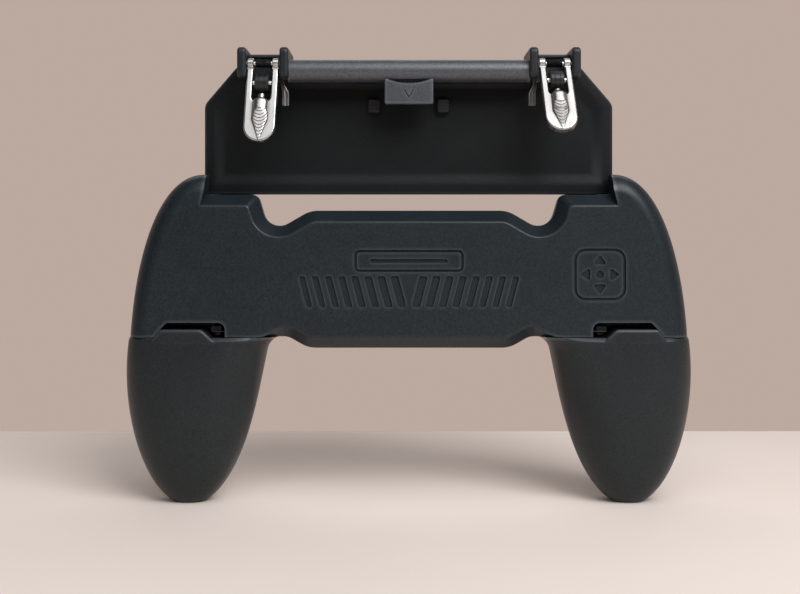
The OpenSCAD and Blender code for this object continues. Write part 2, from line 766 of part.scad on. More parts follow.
// Sections of a grip at height z, drawn for the right side
function grip_u(z) = (grip_h - z) / (grip_h + grip_cut);
function grip_half_w(z) = grip_half * sqrt(1 - pow(grip_u(z), 2));
function grip_swell(z) = pow(1 - pow(grip_u(z), 2.2), 1 / 2.2);
function grip_x(z) = tip_x - grip_lean * pow(z / grip_h, 4);
function grip_flare(z) = flare_w * max(0, (z - flare_from) / (grip_h - flare_from));
function seam_y(z) = seam_tip_y + seam_rise * z / grip_h;
function grip_front_reach(z) = grip_front_r * grip_swell(z);
function grip_rear_reach(z) = (grip_rear_r + grip_bulge * smooth((grip_h - z) / 24)) * grip_swell(z);
function grip_power(z) = 2.4 + 1.6 * pow(z / grip_h, 6);
function grip_point(z, a, thin) =
  let (
    p = 2 / grip_power(z),
    half_w = grip_half_w(z) + (cos(a) < 0 ? grip_flare(z) : 0) - thin,
    reach = (sin(a) < 0 ? grip_front_reach(z) : grip_rear_reach(z)) - thin
  )
  [grip_x(z) + half_w * signed_pow(cos(a), p), seam_y(z) + reach * signed_pow(sin(a), p), z];
grip_levels = [0, 0.03, 0.08, 0.16, 0.26, 0.38, 0.51, 0.64, 0.77, 0.87, 0.95, 1];
hollow_levels = [0.08, 0.16, 0.28, 0.42, 0.56, 0.7, 0.82, 0.92];
half_steps = 14;
module grip_half_solid(from) {
  rings = [for (l = grip_levels)
    [for (i = [0 : half_steps]) grip_point(l * grip_top, from + 180 * i / half_steps, 0)]];
  loft(rings, fan(half_steps + 1), fan(half_steps + 1));
}
module grip_hollow() {
  rings = [for (l = hollow_levels)
    [for (i = [0 : 23])
      grip_point(l * grip_top, 15 * i + 7.5, min(grip_wall, 0.45 * grip_half_w(l * grip_top)))]];
  loft(rings, fan(24), fan(24));
}
module grip_boss(p, d, y0, y1) {
  rod_y(p[0], p[1], d, seam_y(p[1]) + y0, seam_y(p[1]) + y1);
}

// Front half of a grip, with the tab that shows in the body's pocket
module grip_front(side) {
  color(grip_black) sided(side) difference() {
    union() {
      difference() {
        grip_half_solid(180);
        difference() {
          grip_hollow();
          for (p = grip_screw_places) grip_boss(p, screw_d + 3.4, -16, 3);
        }
      }
      front_plate(tab_front, tab_front + tab_t)
        polygon([
          [tab_foot_in, grip_h - 4], [tab_foot_in, grip_h], [tab_in, grip_h + tab_rise],
          [tab_out, grip_h + tab_rise], [tab_foot_out, grip_h], [tab_foot_out, grip_h - 4]
        ]);
    }
    for (p = grip_screw_places)
      grip_boss(p, screw_d + 2 * press_gap, grip_screw_y - grip_screw_len - 0.5, grip_screw_y);
  }
}

// Rear half of a grip, with the hinge barrel and the screw wells
module grip_rear(side) {
  color(grip_black) sided(side) difference() {
    union() {
      difference() {
        grip_half_solid(0);
        difference() {
          grip_hollow();
          for (p = grip_screw_places) grip_boss(p, head_d + 2.6, -3, 16);
        }
      }
      rod_x(hinge_y, hinge_z, hinge_barrel_d, knuckle_in, knuckle_out);
    }
    for (p = grip_screw_places) {
      grip_boss(p, screw_d + 0.4, -3, 20);
      grip_boss(p, head_d + 0.4, grip_screw_y, 20);
    }
    rod_x(hinge_y, hinge_z, hinge_barrel_d + 0.8, hinge_in - knuckle_gap, knuckle_in);
    rod_x(hinge_y, hinge_z, hinge_barrel_d + 0.8, knuckle_out, hinge_out + knuckle_gap);
    rod_x(hinge_y, hinge_z, hinge_pin_d + 2 * run_gap, hinge_in, hinge_out);
  }
}
module grip_screws(side) {
  color(steel) sided(side)
    for (p = grip_screw_places)
      screw_y(p[0], p[1], seam_y(p[1]) + grip_screw_y, grip_screw_len, screw_d, head_d, head_h);
}

front_shell();
rear_shell();
shell_screws();
rail_guide(-1);  // left_rail_guide
rail_guide(1);  // right_rail_guide
hinge_pin(-1);  // left_hinge_pin
hinge_pin(1);  // right_hinge_pin
latch_catch(-1);  // left_latch_catch
latch_catch(1);  // right_latch_catch
tension_spring(-1);  // left_tension_spring
tension_spring(1);  // right_tension_spring
clamp_panel();
clamp_hood();
slide_rail(-1);  // left_slide_rail
slide_rail(1);  // right_slide_rail
rail_screws();
hood_screws();
panel_pads();
contact_strip(-1);  // left_contact_strip
contact_strip(1);  // right_contact_strip
trigger_pin(-1);  // left_trigger_pin
trigger_pin(1);  // right_trigger_pin
trigger_spring(-1);  // left_trigger_spring
trigger_spring(1);  // right_trigger_spring
trigger_lever(-1);  // left_trigger_lever
trigger_lever(1);  // right_trigger_lever
contact_roller(-1);  // left_contact_roller
contact_roller(1);  // right_contact_roller
roller_pin(-1);  // left_roller_pin
roller_pin(1);  // right_roller_pin
phone_retainer();
grip_front(-1);  // left_grip_front
grip_rear(-1);  // left_grip_rear
grip_screws(-1);  // left_grip_screws
grip_front(1);  // right_grip_front
grip_rear(1);  // right_grip_rear
grip_screws(1);  // right_grip_screws
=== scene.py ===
import math
from collections import namedtuple
from dataclasses import dataclass, replace

import bmesh
import bpy
import numpy as np
from mathutils import Matrix, Vector


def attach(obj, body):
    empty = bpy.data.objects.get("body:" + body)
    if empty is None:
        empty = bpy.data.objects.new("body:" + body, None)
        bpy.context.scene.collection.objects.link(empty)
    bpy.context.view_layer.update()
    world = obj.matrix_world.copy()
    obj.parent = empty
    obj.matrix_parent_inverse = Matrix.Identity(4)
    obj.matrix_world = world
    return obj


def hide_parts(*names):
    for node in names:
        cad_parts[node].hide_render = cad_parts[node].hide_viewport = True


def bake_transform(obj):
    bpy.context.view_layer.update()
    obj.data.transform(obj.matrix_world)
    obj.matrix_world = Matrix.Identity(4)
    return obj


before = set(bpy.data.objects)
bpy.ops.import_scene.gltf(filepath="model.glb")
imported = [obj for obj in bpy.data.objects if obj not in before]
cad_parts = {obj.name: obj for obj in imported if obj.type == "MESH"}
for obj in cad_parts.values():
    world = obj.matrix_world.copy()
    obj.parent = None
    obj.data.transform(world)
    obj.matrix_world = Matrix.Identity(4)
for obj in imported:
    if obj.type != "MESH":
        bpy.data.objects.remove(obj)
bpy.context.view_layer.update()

scene = bpy.context.scene
scene.view_settings.view_transform = "Standard"

# Shapes are in millimetres, with the body's middle plane at y = 0, and are moved into the frame at the end.
MM = 0.001
FRAME_Y = 3.2
TO_FRAME = Matrix.Scale(MM, 4) @ Matrix.Translation((0, FRAME_Y, 0))
SIDES = ((-1, "left"), (1, "right"))

# Places that several pieces share. A pair is the (y, z) of an axis along x.
FRONT_Y, REAR_Y = -10.0, 10.0
PART_Z = 51.5
HINGE, HINGE_GAP = (9.2, PART_Z), 0.2
BARRELS, BARREL_R, CLEAR_R = ((54.0, 59.2), (74.8, 80.0)), 3.0, 3.4
RAIL_X, RAIL_BACK, RAIL_SCREW_Z = 54.75, 8.2, (114.0, 119.5)
PANEL_FRONT, PANEL_BACK = 2.0, 4.6
HOOD_BAR, HOOD_BAR_R = (-7.6, 132.35), 3.4
PIVOT_X, PIVOT = 43.9, (-10.0, 134.3)
ROLLER = (0.0, -6.3)
SHELL_SCREWS = [(24, 54.5), (24, 83.0), (74, 66.0), (71.5, 87.9)]
GRIP_SCREWS = [(68.0, 13.905), (65.0, 33.99)]
SCREW_SEAT, WELL_R = 4.0, 2.6


# Numbers

def clamp(t):
    return max(0.0, min(1.0, t))


def smooth(t):
    """Rises from 0 to 1 with t, level at both ends."""
    t = clamp(t)
    return t * t * (3 - 2 * t)


def between(side, a, b):
    """The stretch of x from a to b on one side of the middle, low end first."""
    return tuple(sorted((side * a, side * b)))


# Meshes

def linked(name, data):
    ob = bpy.data.objects.new(name, data)
    scene.collection.objects.link(ob)
    return ob


def discard(ob):
    bpy.data.objects.remove(ob, do_unlink=True)


def mesh_object(name, verts, faces):
    me = bpy.data.meshes.new(name)
    me.from_pydata([tuple(map(float, v)) for v in verts], [], [list(map(int, f)) for f in faces])
    bm = bmesh.new()
    bm.from_mesh(me)
    bmesh.ops.remove_doubles(bm, verts=bm.verts, dist=1e-5)
    bmesh.ops.recalc_face_normals(bm, faces=bm.faces)
    bm.to_mesh(me)
    bm.free()
    return linked(name, me)


def joined(name, obs):
    """One object out of several, which keep their own closed skins."""
    bm = bmesh.new()
    for ob in obs:
        bm.from_mesh(ob.data)
        discard(ob)
    me = bpy.data.meshes.new(name)
    bm.to_mesh(me)
    bm.free()
    return linked(name, me)


def bake(ob):
    """Replaces an object's mesh by what its modifiers make of it."""
    bpy.context.view_layer.update()
    graph = bpy.context.evaluated_depsgraph_get()
    me = bpy.data.meshes.new_from_object(ob.evaluated_get(graph), depsgraph=graph)
    ob.modifiers.clear()
    ob.data = me


def boolean(ob, other, operation):
    modifier = ob.modifiers.new("boolean", "BOOLEAN")
    modifier.operation = operation
    modifier.solver = "EXACT"
    modifier.object = other
    bake(ob)
    discard(other)


def cut(ob, other):
    boolean(ob, other, "DIFFERENCE")


def union(ob, other):
    boolean(ob, other, "UNION")


def on_side(ob, side):
    """A shape made for the right side, mirrored if it is wanted on the left."""
    if side < 0:
        ob.data.transform(Matrix.Scale(-1, 4, (1, 0, 0)))
        ob.data.flip_normals()
    return ob


def finish_piece(ob, name, mat, body, nodes, angle=30):
    """Names, shades and places a piece, and lets it ride its body in place of its CAD nodes."""
    me = ob.data
    bm = bmesh.new()
    bm.from_mesh(me)
    bmesh.ops.remove_doubles(bm, verts=bm.verts, dist=2e-4)
    bmesh.ops.dissolve_degenerate(bm, dist=1e-4, edges=bm.edges)
    bm.to_mesh(me)
    bm.free()
    me.transform(TO_FRAME)
    me.shade_smooth()
    me.set_sharp_from_angle(angle=math.radians(angle))
    me.materials.clear()
    me.materials.append(mat)
    me.update()
    weigh = ob.modifiers.new("flat faces keep their shading", "WEIGHTED_NORMAL")
    weigh.keep_sharp = True
    bake(ob)
    ob.name = ob.data.name = name
    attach(ob, body)
    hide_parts(*nodes)


# Plane shapes

def area(pts):
    return 0.5 * sum(p[0] * q[1] - q[0] * p[1] for p, q in zip(pts, pts[1:] + pts[:1]))


def polar(at, r, degrees):
    a = math.radians(degrees)
    return at[0] + r * math.cos(a), at[1] + r * math.sin(a)


def circle(r, n, at=(0, 0)):
    return [polar(at, r, 360 * k / n) for k in range(n)]


def round_corner(p, before, after, r, steps):
    """The arc of radius r that rounds the corner p of the line before, p, after."""
    p = np.array(p, float)
    a, b = np.array(before, float) - p, np.array(after, float) - p
    a, b = a / np.linalg.norm(a), b / np.linalg.norm(b)
    half = math.acos(max(-1, min(1, a @ b))) / 2
    run = r / math.tan(half)
    centre = p + (a + b) / np.linalg.norm(a + b) * r / math.sin(half)
    s, e = p + a * run - centre, p + b * run - centre
    turn = math.atan2(s[0] * e[1] - s[1] * e[0], s @ e)
    arc = []
    for k in range(steps + 1):
        c, d = math.cos(turn * k / steps), math.sin(turn * k / steps)
        arc.append((centre[0] + s[0] * c - s[1] * d, centre[1] + s[0] * d + s[1] * c))
    return arc


def fillet(corners, steps):
    """Closed outline of (u, v, r) corners, each rounded with its own radius, counter-clockwise."""
    pts = []
    for i, (u, v, r) in enumerate(corners):
        before, after = corners[i - 1], corners[(i + 1) % len(corners)]
        pts += round_corner((u, v), before[:2], after[:2], r, steps) if r > 0 else [(u, v)]
    return pts if area(pts) > 0 else pts[::-1]


def rounded_rect(u, v, r, steps):
    """A rectangle over the stretches u and v, with all corners rounded alike."""
    return fillet([(u[0], v[0], r), (u[1], v[0], r), (u[1], v[1], r), (u[0], v[1], r)], steps)


def even(half, steps, middle=0.0):
    """Outline that is the same on both sides of a middle, from the (u, v, r) corners of its right half."""
    right = [(middle + u, v, r) for u, v, r in half]
    left = [(middle - u, v, r) for u, v, r in half[::-1]]
    return fillet(right + left, steps)


def mirrored(pts):
    return [(-u, v) for u, v in pts][::-1]


def quarter_turns(pts):
    """The points as they are, and turned by one, two and three right angles."""
    turned = [pts]
    for _ in range(3):
        turned.append([(-v, u) for u, v in turned[-1]])
    return turned


def quarter(side_r, depth_r, steps):
    """(inset, depth) pairs over a rounded edge, from the flat face to the side."""
    if side_r == 0:
        return [(0.0, 0.0)]
    angles = [math.pi / 2 * k / steps for k in range(steps + 1)]
    return [(side_r * (1 - math.sin(a)), depth_r * (1 - math.cos(a))) for a in angles]


def unfold(base, moved):
    """Pulls edges that turned round on being moved together into one point each."""
    base, moved = np.array(base, float), np.array(moved, float)
    n = len(base)
    none, near, rounds = 1e-9, 4.0, 60
    for _ in range(rounds):
        e0 = np.roll(base, -1, 0) - base
        e1 = np.roll(moved, -1, 0) - moved
        long = np.linalg.norm(e1, axis=1)
        turned = ((e0 * e1).sum(1) < 0) & (long > none)
        if not turned.any():
            break
        loose = turned | (long <= none)
        start = int(np.flatnonzero(~loose)[0])
        i = 0
        while i < n:
            a = (start + i) % n
            if not loose[a]:
                i += 1
                continue
            run = 1
            while loose[(a + run) % n]:
                run += 1
            members = [(a + k) % n for k in range(run + 1)]
            if any(turned[k] for k in members[:-1]):
                p, d = moved[a - 1], e1[a - 1]
                q, f = moved[(a + run + 1) % n], e1[(a + run) % n]
                cross = d[0] * f[1] - d[1] * f[0]
                place = mean = moved[members].mean(0)
                if abs(cross) > none:
                    meet = p + d * ((q[0] - p[0]) * f[1] - (q[1] - p[1]) * f[0]) / cross
                    if np.linalg.norm(meet - mean) < near:
                        place = meet
                moved[members] = place
            i += run
    return [tuple(p) for p in moved]


def normals(before, p, after):
    """Unit vectors to the left of the two edges that meet at p."""
    edges = np.array(p, float) - before, np.array(after, float) - p
    return [np.array((-t[1], t[0])) / np.linalg.norm(t) for t in edges]


def inset(pts, d):
    """Counter-clockwise outline moved inward by d."""
    out = []
    for i, p in enumerate(pts):
        n1, n2 = normals(pts[i - 1], p, pts[(i + 1) % len(pts)])
        out.append(tuple(np.array(p, float) + d * (n1 + n2) / max(0.2, 1 + n1 @ n2)))
    return unfold(pts, out)


# Solid shapes

def on_axis(axis, u, v, w):
    """The point at w along an axis, and at u and v across it."""
    return {"x": (w, u, v), "y": (u, w, v), "z": (u, v, w)}[axis]


def loft(name, rings):
    """Closed skin over rings of equal point counts, with a cap at each end."""
    n = len(rings[0])
    verts = [p for ring in rings for p in ring]
    faces = [tuple(range(n))[::-1], tuple(range(len(verts) - n, len(verts)))]
    for i in range(len(rings) - 1):
        for k in range(n):
            a, b = i * n + k, i * n + (k + 1) % n
            faces.append((a, b, b + n, a + n))
    return mesh_object(name, verts, faces)


def ring_loft(loops):
    """A closed band over (outline, y) loops of equal point counts."""
    n, m = len(loops[0][0]), len(loops)
    verts = [(u, y, v) for loop, y in loops for u, v in loop]
    faces = []
    for i in range(m):
        here, there = i * n, (i + 1) % m * n
        for k in range(n):
            j = (k + 1) % n
            faces.append((here + k, here + j, there + j, there + k))
    return mesh_object("band", verts, faces)


def plate(name, pts, lo, hi, axis, r0=0.0, r1=0.0, steps=4):
    """An outline drawn out along an axis from lo to hi, with edges of radius r0 at lo and r1 at hi."""
    levels = [(d, lo + w) for d, w in quarter(r0, r0, steps)]
    levels += [(d, hi - w) for d, w in quarter(r1, r1, steps)[::-1]]
    rings = []
    for d, w in levels:
        outline = inset(pts, d) if d > 1e-6 else pts
        rings.append([on_axis(axis, u, v, w) for u, v in outline])
    return loft(name, rings)


def block(name, x, y, z, corner, edge=0.0, axis="y"):
    """A box over three stretches, with rounded corners seen along the axis and rounded ends."""
    u, v, w = {"x": (y, z, x), "y": (x, z, y), "z": (x, y, z)}[axis]
    return plate(name, rounded_rect(u, v, corner, 4), w[0], w[1], axis, edge, edge)


def lathe(name, profile, axis, at, n=48):
    """Turned shape: (radius, place along the axis) pairs round an axis through at."""
    return loft(name, [[on_axis(axis, u, v, w) for u, v in circle(r, n, at)] for r, w in profile])


def rod(name, axis, at, r, lo, hi, chamfer=0.0, n=48):
    profile = [(r - chamfer, lo), (r, lo + chamfer), (r, hi - chamfer), (r - chamfer, hi)]
    return lathe(name, profile, axis, at, n)


def pin(name, r, x, at, n, face=0.25, shoulder=0.05, end=0.2):
    """A drawn pin over the stretch x. Its ends are rounded down to faces of a radius less by face."""
    ends = [(r - face, 0.0), (r - 0.08, shoulder), (r, end)]
    profile = [(q, x[0] + w) for q, w in ends] + [(q, x[1] - w) for q, w in ends[::-1]]
    return lathe(name, profile, "x", at, n)


def helix(axis, at, lo, hi, r, turns, per_turn, phase=0.0):
    path = []
    count = int(turns * per_turn)
    for i in range(count + 1):
        a = 2 * math.pi * i / per_turn + phase
        w = lo + (hi - lo) * i / count
        path.append(on_axis(axis, at[0] + r * math.cos(a), at[1] + r * math.sin(a), w))
    return path


def sweep(name, path, r, sides):
    """A round wire along a path of points, with rounded ends."""
    path = [np.array(p, float) for p in path]
    last = len(path) - 1
    round_end = [(0.45, 0.85), (0.9, 0.35)]
    rings, side = [], None
    for i, p in enumerate(path):
        t = path[min(last, i + 1)] - path[max(0, i - 1)]
        t = t / np.linalg.norm(t)
        if side is None:
            side = np.cross(t, (0, 0, 1) if abs(t[2]) < 0.8 else (1, 0, 0))
        side = side - t * (side @ t)
        side = side / np.linalg.norm(side)
        up = np.cross(t, side)
        levels = [(0.0, 1.0)]
        if i == 0:
            levels = [(-on, shrink) for on, shrink in round_end[::-1]] + levels
        if i == last:
            levels = levels + round_end
        for on, shrink in levels:
            rings.append([p + t * r * on + u * side + v * up for u, v in circle(r * shrink, sides)])
    return loft(name, rings)


# Materials

class Tree:
    """The node tree of a material or world, with a short call for each kind of node that is used here."""

    def __init__(self, owner, shader):
        owner.use_nodes = True
        self.nodes = owner.node_tree.nodes
        self.links = owner.node_tree.links
        self.shader = self.nodes[shader]

    def put(self, socket, value):
        """Feeds a socket with another node's output, a colour or a number."""
        if isinstance(value, bpy.types.NodeSocket):
            self.links.new(value, socket)
        elif socket.type == "RGBA":
            socket.default_value = (*value, 1)
        else:
            socket.default_value = value

    def fill(self, node, inputs):
        for name, value in inputs.items():
            self.put(node.inputs[name], value)
        return node

    def add(self, kind, inputs):
        return self.fill(self.nodes.new("ShaderNode" + kind), inputs)

    def coords(self, kind):
        return self.add("TexCoord", {}).outputs[kind]

    def noise(self, vector, scale, detail, rough, stretch=None):
        if stretch:
            vector = self.add("Mapping", {"Vector": vector, "Scale": stretch}).outputs["Vector"]
        inputs = {"Vector": vector, "Scale": scale, "Detail": detail, "Roughness": rough}
        return self.add("TexNoise", inputs).outputs["Fac"]

    def ramp(self, fac, dark, pale, high=0.7):
        node = self.add("ValToRGB", {"Fac": fac})
        for stop, at, colour in zip(node.color_ramp.elements, (0.3, high), (dark, pale)):
            stop.position = at
            stop.color = (*colour, 1)
        return node.outputs["Color"]

    def span(self, fac, lo, hi, from_lo=0.3, from_hi=0.7, kind="LINEAR"):
        """Goes from lo to hi as fac goes from from_lo to from_hi."""
        inputs = {"Value": fac, "From Min": from_lo, "From Max": from_hi, "To Min": lo, "To Max": hi}
        node = self.add("MapRange", inputs)
        node.interpolation_type = kind
        return node.outputs["Result"]

    def maths(self, operation, a, b):
        node = self.add("Math", {})
        node.operation = operation
        self.put(node.inputs[0], a)
        self.put(node.inputs[1], b)
        return node.outputs[0]

    def mix(self, fac, a, b, kind="MIX"):
        node = self.add("Mix", {})
        node.data_type = "RGBA"
        node.blend_type = kind
        self.put(node.inputs["Factor"], fac)
        self.put(node.inputs[6], a)
        self.put(node.inputs[7], b)
        return node.outputs[2]

    def bump(self, height, strength, distance, after=None):
        node = self.add("Bump", {"Height": height, "Strength": strength, "Distance": distance})
        if after:
            self.put(node.inputs["Normal"], after)
        return node.outputs["Normal"]

    def nearby(self, reach, inside):
        """Share of open directions within reach, on the outer side of the surface or on the inner side."""
        node = self.add("AmbientOcclusion", {"Distance": reach})
        node.samples = 6
        node.inside = inside
        node.only_local = True
        return node.outputs["AO"]


def material(name):
    mat = bpy.data.materials.new(name)
    tree = Tree(mat, "Principled BSDF")
    return mat, tree, tree.coords("Object")


def lifted(colour, gain, more):
    return tuple(gain * c + more for c in colour)


def plastic(name, dark, pale, rough, grain, strength, specular, depth=0.00006, edge_highlight=0.7):
    """Moulded plastic: a spark-eroded grain, broad mottling, and smoother edges whose paler colour is a
    painted highlight.
    """
    mat, tree, at = material(name)
    fine = tree.noise(at, grain, 2.0, 0.5)
    coarse = tree.noise(at, 0.27 * grain, 3.0, 0.6)
    broad = tree.noise(at, 46.0, 3.0, 0.55)
    dust = tree.noise(at, 210.0, 5.0, 0.65)
    edge = tree.span(tree.nearby(0.0011, True), 1.0, 0.0, 0.6, 0.96)
    colour = tree.ramp(broad, dark, pale, 0.72)
    colour = tree.mix(1.0, colour, tree.span(fine, 0.55, 1.6), "MULTIPLY")
    colour = tree.mix(tree.span(dust, 0.0, 0.14, 0.6, 0.8), colour, lifted(pale, 1.35, 0.004))
    # Convex edges are lightened towards a pale colour: a painted highlight along them.
    colour = tree.mix(tree.maths("MULTIPLY", edge, edge_highlight), colour, lifted(pale, 3.0, 0.03))
    matt = tree.span(dust, rough - 0.03, rough + 0.04)
    matt = tree.maths("ADD", matt, tree.span(fine, 0.05, -0.05))
    matt = tree.maths("SUBTRACT", matt, tree.maths("MULTIPLY", edge, 0.14))
    normal = tree.bump(coarse, 0.25 * strength, 2.2 * depth)
    normal = tree.bump(fine, strength, depth, normal)
    tree.fill(tree.shader, {"Base Color": colour, "Roughness": matt, "Specular IOR Level": specular,
                            "Normal": normal})
    return mat


def rubber(name, dark, pale, smoothest, dullest):
    """Moulded rubber: a fine grain with a pale bloom."""
    mat, tree, at = material(name)
    fine = tree.noise(at, 2600.0, 4.0, 0.7)
    broad = tree.noise(at, 120.0, 3.0, 0.6)
    colour = tree.ramp(broad, dark, pale, 0.75)
    colour = tree.mix(tree.span(fine, 0.0, 0.35, 0.58, 0.8), colour, lifted(pale, 1.8, 0.003))
    matt = tree.span(fine, smoothest, dullest)
    normal = tree.bump(fine, 0.3, 0.00005)
    tree.fill(tree.shader, {"Base Color": colour, "Roughness": matt, "Specular IOR Level": 0.4,
                            "Normal": normal})
    return mat


def metal(name, dark, pale, rough, brushed, scale, strength, hollow_shade_colour=(0.15, 0.13, 0.105)):
    """Plated or drawn metal: fine lines along one direction, handling marks, and painted shade darkening the
    hollows.
    """
    mat, tree, at = material(name)
    lines = tree.noise(at, scale, 4.0, 0.65, brushed)
    cloud = tree.noise(at, 170.0, 4.0, 0.6)
    pits = tree.noise(at, 2400.0, 2.0, 0.5)
    hollow = tree.span(tree.nearby(0.001, False), 1.0, 0.0, 0.58, 0.97)
    # In recesses the colour is darkened as painted shade, and the roughness rises there.
    colour = tree.mix(tree.maths("MULTIPLY", hollow, 0.85), tree.ramp(cloud, dark, pale), hollow_shade_colour)
    matt = tree.span(lines, rough - 0.06, rough + 0.08)
    matt = tree.maths("ADD", matt, tree.maths("MULTIPLY", hollow, 0.12))
    normal = tree.bump(lines, strength, 0.00004)
    normal = tree.bump(pits, 0.8 * strength, 0.00003, normal)
    tree.fill(tree.shader, {"Base Color": colour, "Metallic": 1.0, "Roughness": matt, "Normal": normal})
    return mat


BODY = plastic("body_plastic", (0.0084, 0.0132, 0.0168), (0.0106, 0.0162, 0.0202), 0.38,
               grain=2000.0, strength=0.22, specular=0.32)
CLAMP = plastic("clamp_plastic", (0.0066, 0.0092, 0.0112), (0.0084, 0.0114, 0.0136), 0.40,
                grain=2000.0, strength=0.3, specular=0.32)
# A darker copy of the clamp plastic for the back panel: its darkness is painted shade for the hood's shadow.
PANEL = plastic("panel_plastic_painted_shade", (0.0030, 0.0040, 0.0046), (0.0040, 0.0052, 0.0060), 0.45,
                grain=2000.0, strength=0.3, specular=0.2)
# A paler copy of the clamp plastic for the front bar, which is one moulding with the hood: its paleness is a
# painted highlight.
BAR_PALER_FOR_HIGHLIGHT = plastic("bar_plastic_painted_highlight", (0.034, 0.038, 0.0455), (0.042, 0.047, 0.056), 0.40,
                grain=1700.0, strength=0.45, specular=0.8)
# Paler than the clamp plastic for the retainer tab: its paleness is a painted highlight.
HOOK = plastic("hook_plastic_painted_highlight", (0.021, 0.0235, 0.028), (0.026, 0.029, 0.0345), 0.40,
               grain=1700.0, strength=0.45, specular=0.6)
# The grip's edges get the strongest painted highlight.
GRIP = plastic("grip_plastic", (0.0078, 0.0114, 0.0134), (0.0098, 0.0140, 0.0162), 0.38,
               grain=2200.0, strength=0.3, specular=0.36, depth=0.00005, edge_highlight=1.0)
ACETAL = plastic("black_acetal", (0.0030, 0.0032, 0.0035), (0.0044, 0.0047, 0.0050), 0.40,
                 grain=2400.0, strength=0.18, specular=0.2, depth=0.00003)
RUBBER = rubber("black_rubber", (0.0100, 0.0108, 0.0116), (0.0140, 0.0150, 0.0160), 0.28, 0.42)
PAD = rubber("pad_rubber", (0.0040, 0.0043, 0.0046), (0.0058, 0.0062, 0.0066), 0.48, 0.66)
PLAIN, ALONG_X, ALONG_Z, COILED = (1.0, 1.0, 1.0), (0.1, 1.0, 1.0), (1.0, 1.0, 0.16), (1.0, 1.0, 0.3)
# The last colour given to a metal is the painted shade in its hollows.
NICKEL = metal("lever_metal", (0.43, 0.42, 0.408), (0.52, 0.51, 0.497), 0.28, ALONG_Z, 1300.0, 0.1)
PIN = metal("pin_steel", (0.58, 0.58, 0.58), (0.72, 0.72, 0.72), 0.2, ALONG_X, 1800.0, 0.08)
SCREW = metal("screw_steel", (0.075, 0.075, 0.08), (0.11, 0.11, 0.115), 0.34, PLAIN, 1500.0, 0.12,
              hollow_shade_colour=(0.03, 0.03, 0.03))
COIL = metal("coil_steel", (0.016, 0.016, 0.017), (0.026, 0.026, 0.027), 0.45, PLAIN, 1500.0, 0.12,
             hollow_shade_colour=(0.01, 0.01, 0.01))
SPRING = metal("spring_steel", (0.42, 0.42, 0.43), (0.56, 0.56, 0.57), 0.25, COILED, 1500.0, 0.1)


# Body shells

BAR_LOW, BAR_TOP, LEDGE_Z, PEAK_Z = 48.0, 90.0, 94.9, 101.1
BAR_CORNER, BAR_SLOPE = 9.0, math.tan(math.radians(30))
FRONT_NOTCH, REAR_NOTCH = 61.9, 64.2
CROWN_X, REACH, WIDE_Z, POWER = 62.5, 23.4, 36.2045, 2.2
BAY, BAY_R, BAY_FROM, BAY_TO = (39.5, 90.5), 5.1, 240.0, 343.4
ARCH_X, ARCH_R = 38.4, 5.6
BEVEL_IN, BEVEL_Y = 3.5, -5.5
SEAM, SEAM_DRAFT = [(0.0, 0.32), (0.17, 0.16), (0.17, 0.02)], 0.4


@dataclass
class Corner:
    """A point of the body's outline, and the edge from it to the next point."""
    x: float
    z: float
    edge: str                # bevel, round or small
    roundness: float = 0.0   # depth here: 0 as on a bevelled edge, 1 as on a round one
    radius: float = 0.0      # of the corner in the outline
    bevelled: float = 0.0    # share of the bevel on a small edge
    small: float = 0.9       # radius of a small edge
    draft: float = 1.0       # share of the draft on a bevelled edge
    out: float = 0.0         # share of the bevel that runs out over a small edge's end


def crown_point(a):
    across = REACH * math.cos(a) ** (2 / POWER)
    up = (PEAK_Z - WIDE_Z) * math.sin(a) ** (2 / POWER)
    return CROWN_X + across, WIDE_Z + up


def crown_angle(z):
    return math.asin(((z - WIDE_Z) / (PEAK_Z - WIDE_Z)) ** (POWER / 2))


def body_half(notch, run_out):
    """Right half of the body's outline, clockwise: bar top, bay, ledge, notch, crown, arch and bar."""
    fade, bevel_from, bevel_run = 16, 45.6, 5.6
    bay = [polar(BAY, BAY_R, a) for a in np.linspace(BAY_FROM, BAY_TO, 21)]
    (x0, z0), (x1, z1) = bay[0], bay[-1]
    ledge_x = x1 + (LEDGE_Z - z1) * math.tan(math.radians(360 - BAY_TO))
    pts = [Corner(x0 - (BAR_TOP - z0) / BAR_SLOPE, BAR_TOP, "bevel", radius=BAR_CORNER)]
    pts += [Corner(x, z, "bevel") for x, z in bay]
    pts.append(Corner(ledge_x, LEDGE_Z, "bevel", radius=2.6, draft=0.0))
    pts.append(Corner(notch, LEDGE_Z, "small", small=0.35, out=run_out))
    if notch < CROWN_X:
        pts.append(Corner(notch, PEAK_Z, "round", 1.0))
    top = math.acos(max(0.0, (notch - CROWN_X) / REACH) ** (POWER / 2))
    for a in np.linspace(top, crown_angle(PART_Z), 49):
        pts.append(Corner(*crown_point(a), "round", 1.0, small=0.3))
    pts[-1].edge = "small"
    crown_end = pts[-1].x
    for x in np.linspace(crown_end, ARCH_X, 17)[1:-1]:
        roundness = max(0.0, 1 - (crown_end - x) / fade)
        bevelled = smooth((bevel_from - x) / bevel_run)
        pts.append(Corner(x, PART_Z, "small", roundness, bevelled=bevelled, small=0.3))
    arch = [polar((ARCH_X, PART_Z - ARCH_R), ARCH_R, a) for a in np.linspace(90, 120, 10)]
    pts += [Corner(x, z, "bevel") for x, z in arch]
    x0, z0 = arch[-1]
    pts.append(Corner(x0 - (z0 - BAR_LOW) / BAR_SLOPE, BAR_LOW, "bevel", radius=BAR_CORNER))
    return pts


def body_outline(notch, run_out=0.0):
    half = body_half(notch, run_out)
    other = []
    for i in reversed(range(len(half))):
        before = half[i - 1] if i else Corner(0.0, 0.0, "bevel")
        other.append(replace(half[i], x=-half[i].x, edge=before.edge, bevelled=before.bevelled,
                             small=before.small, draft=before.draft))
    return half + other


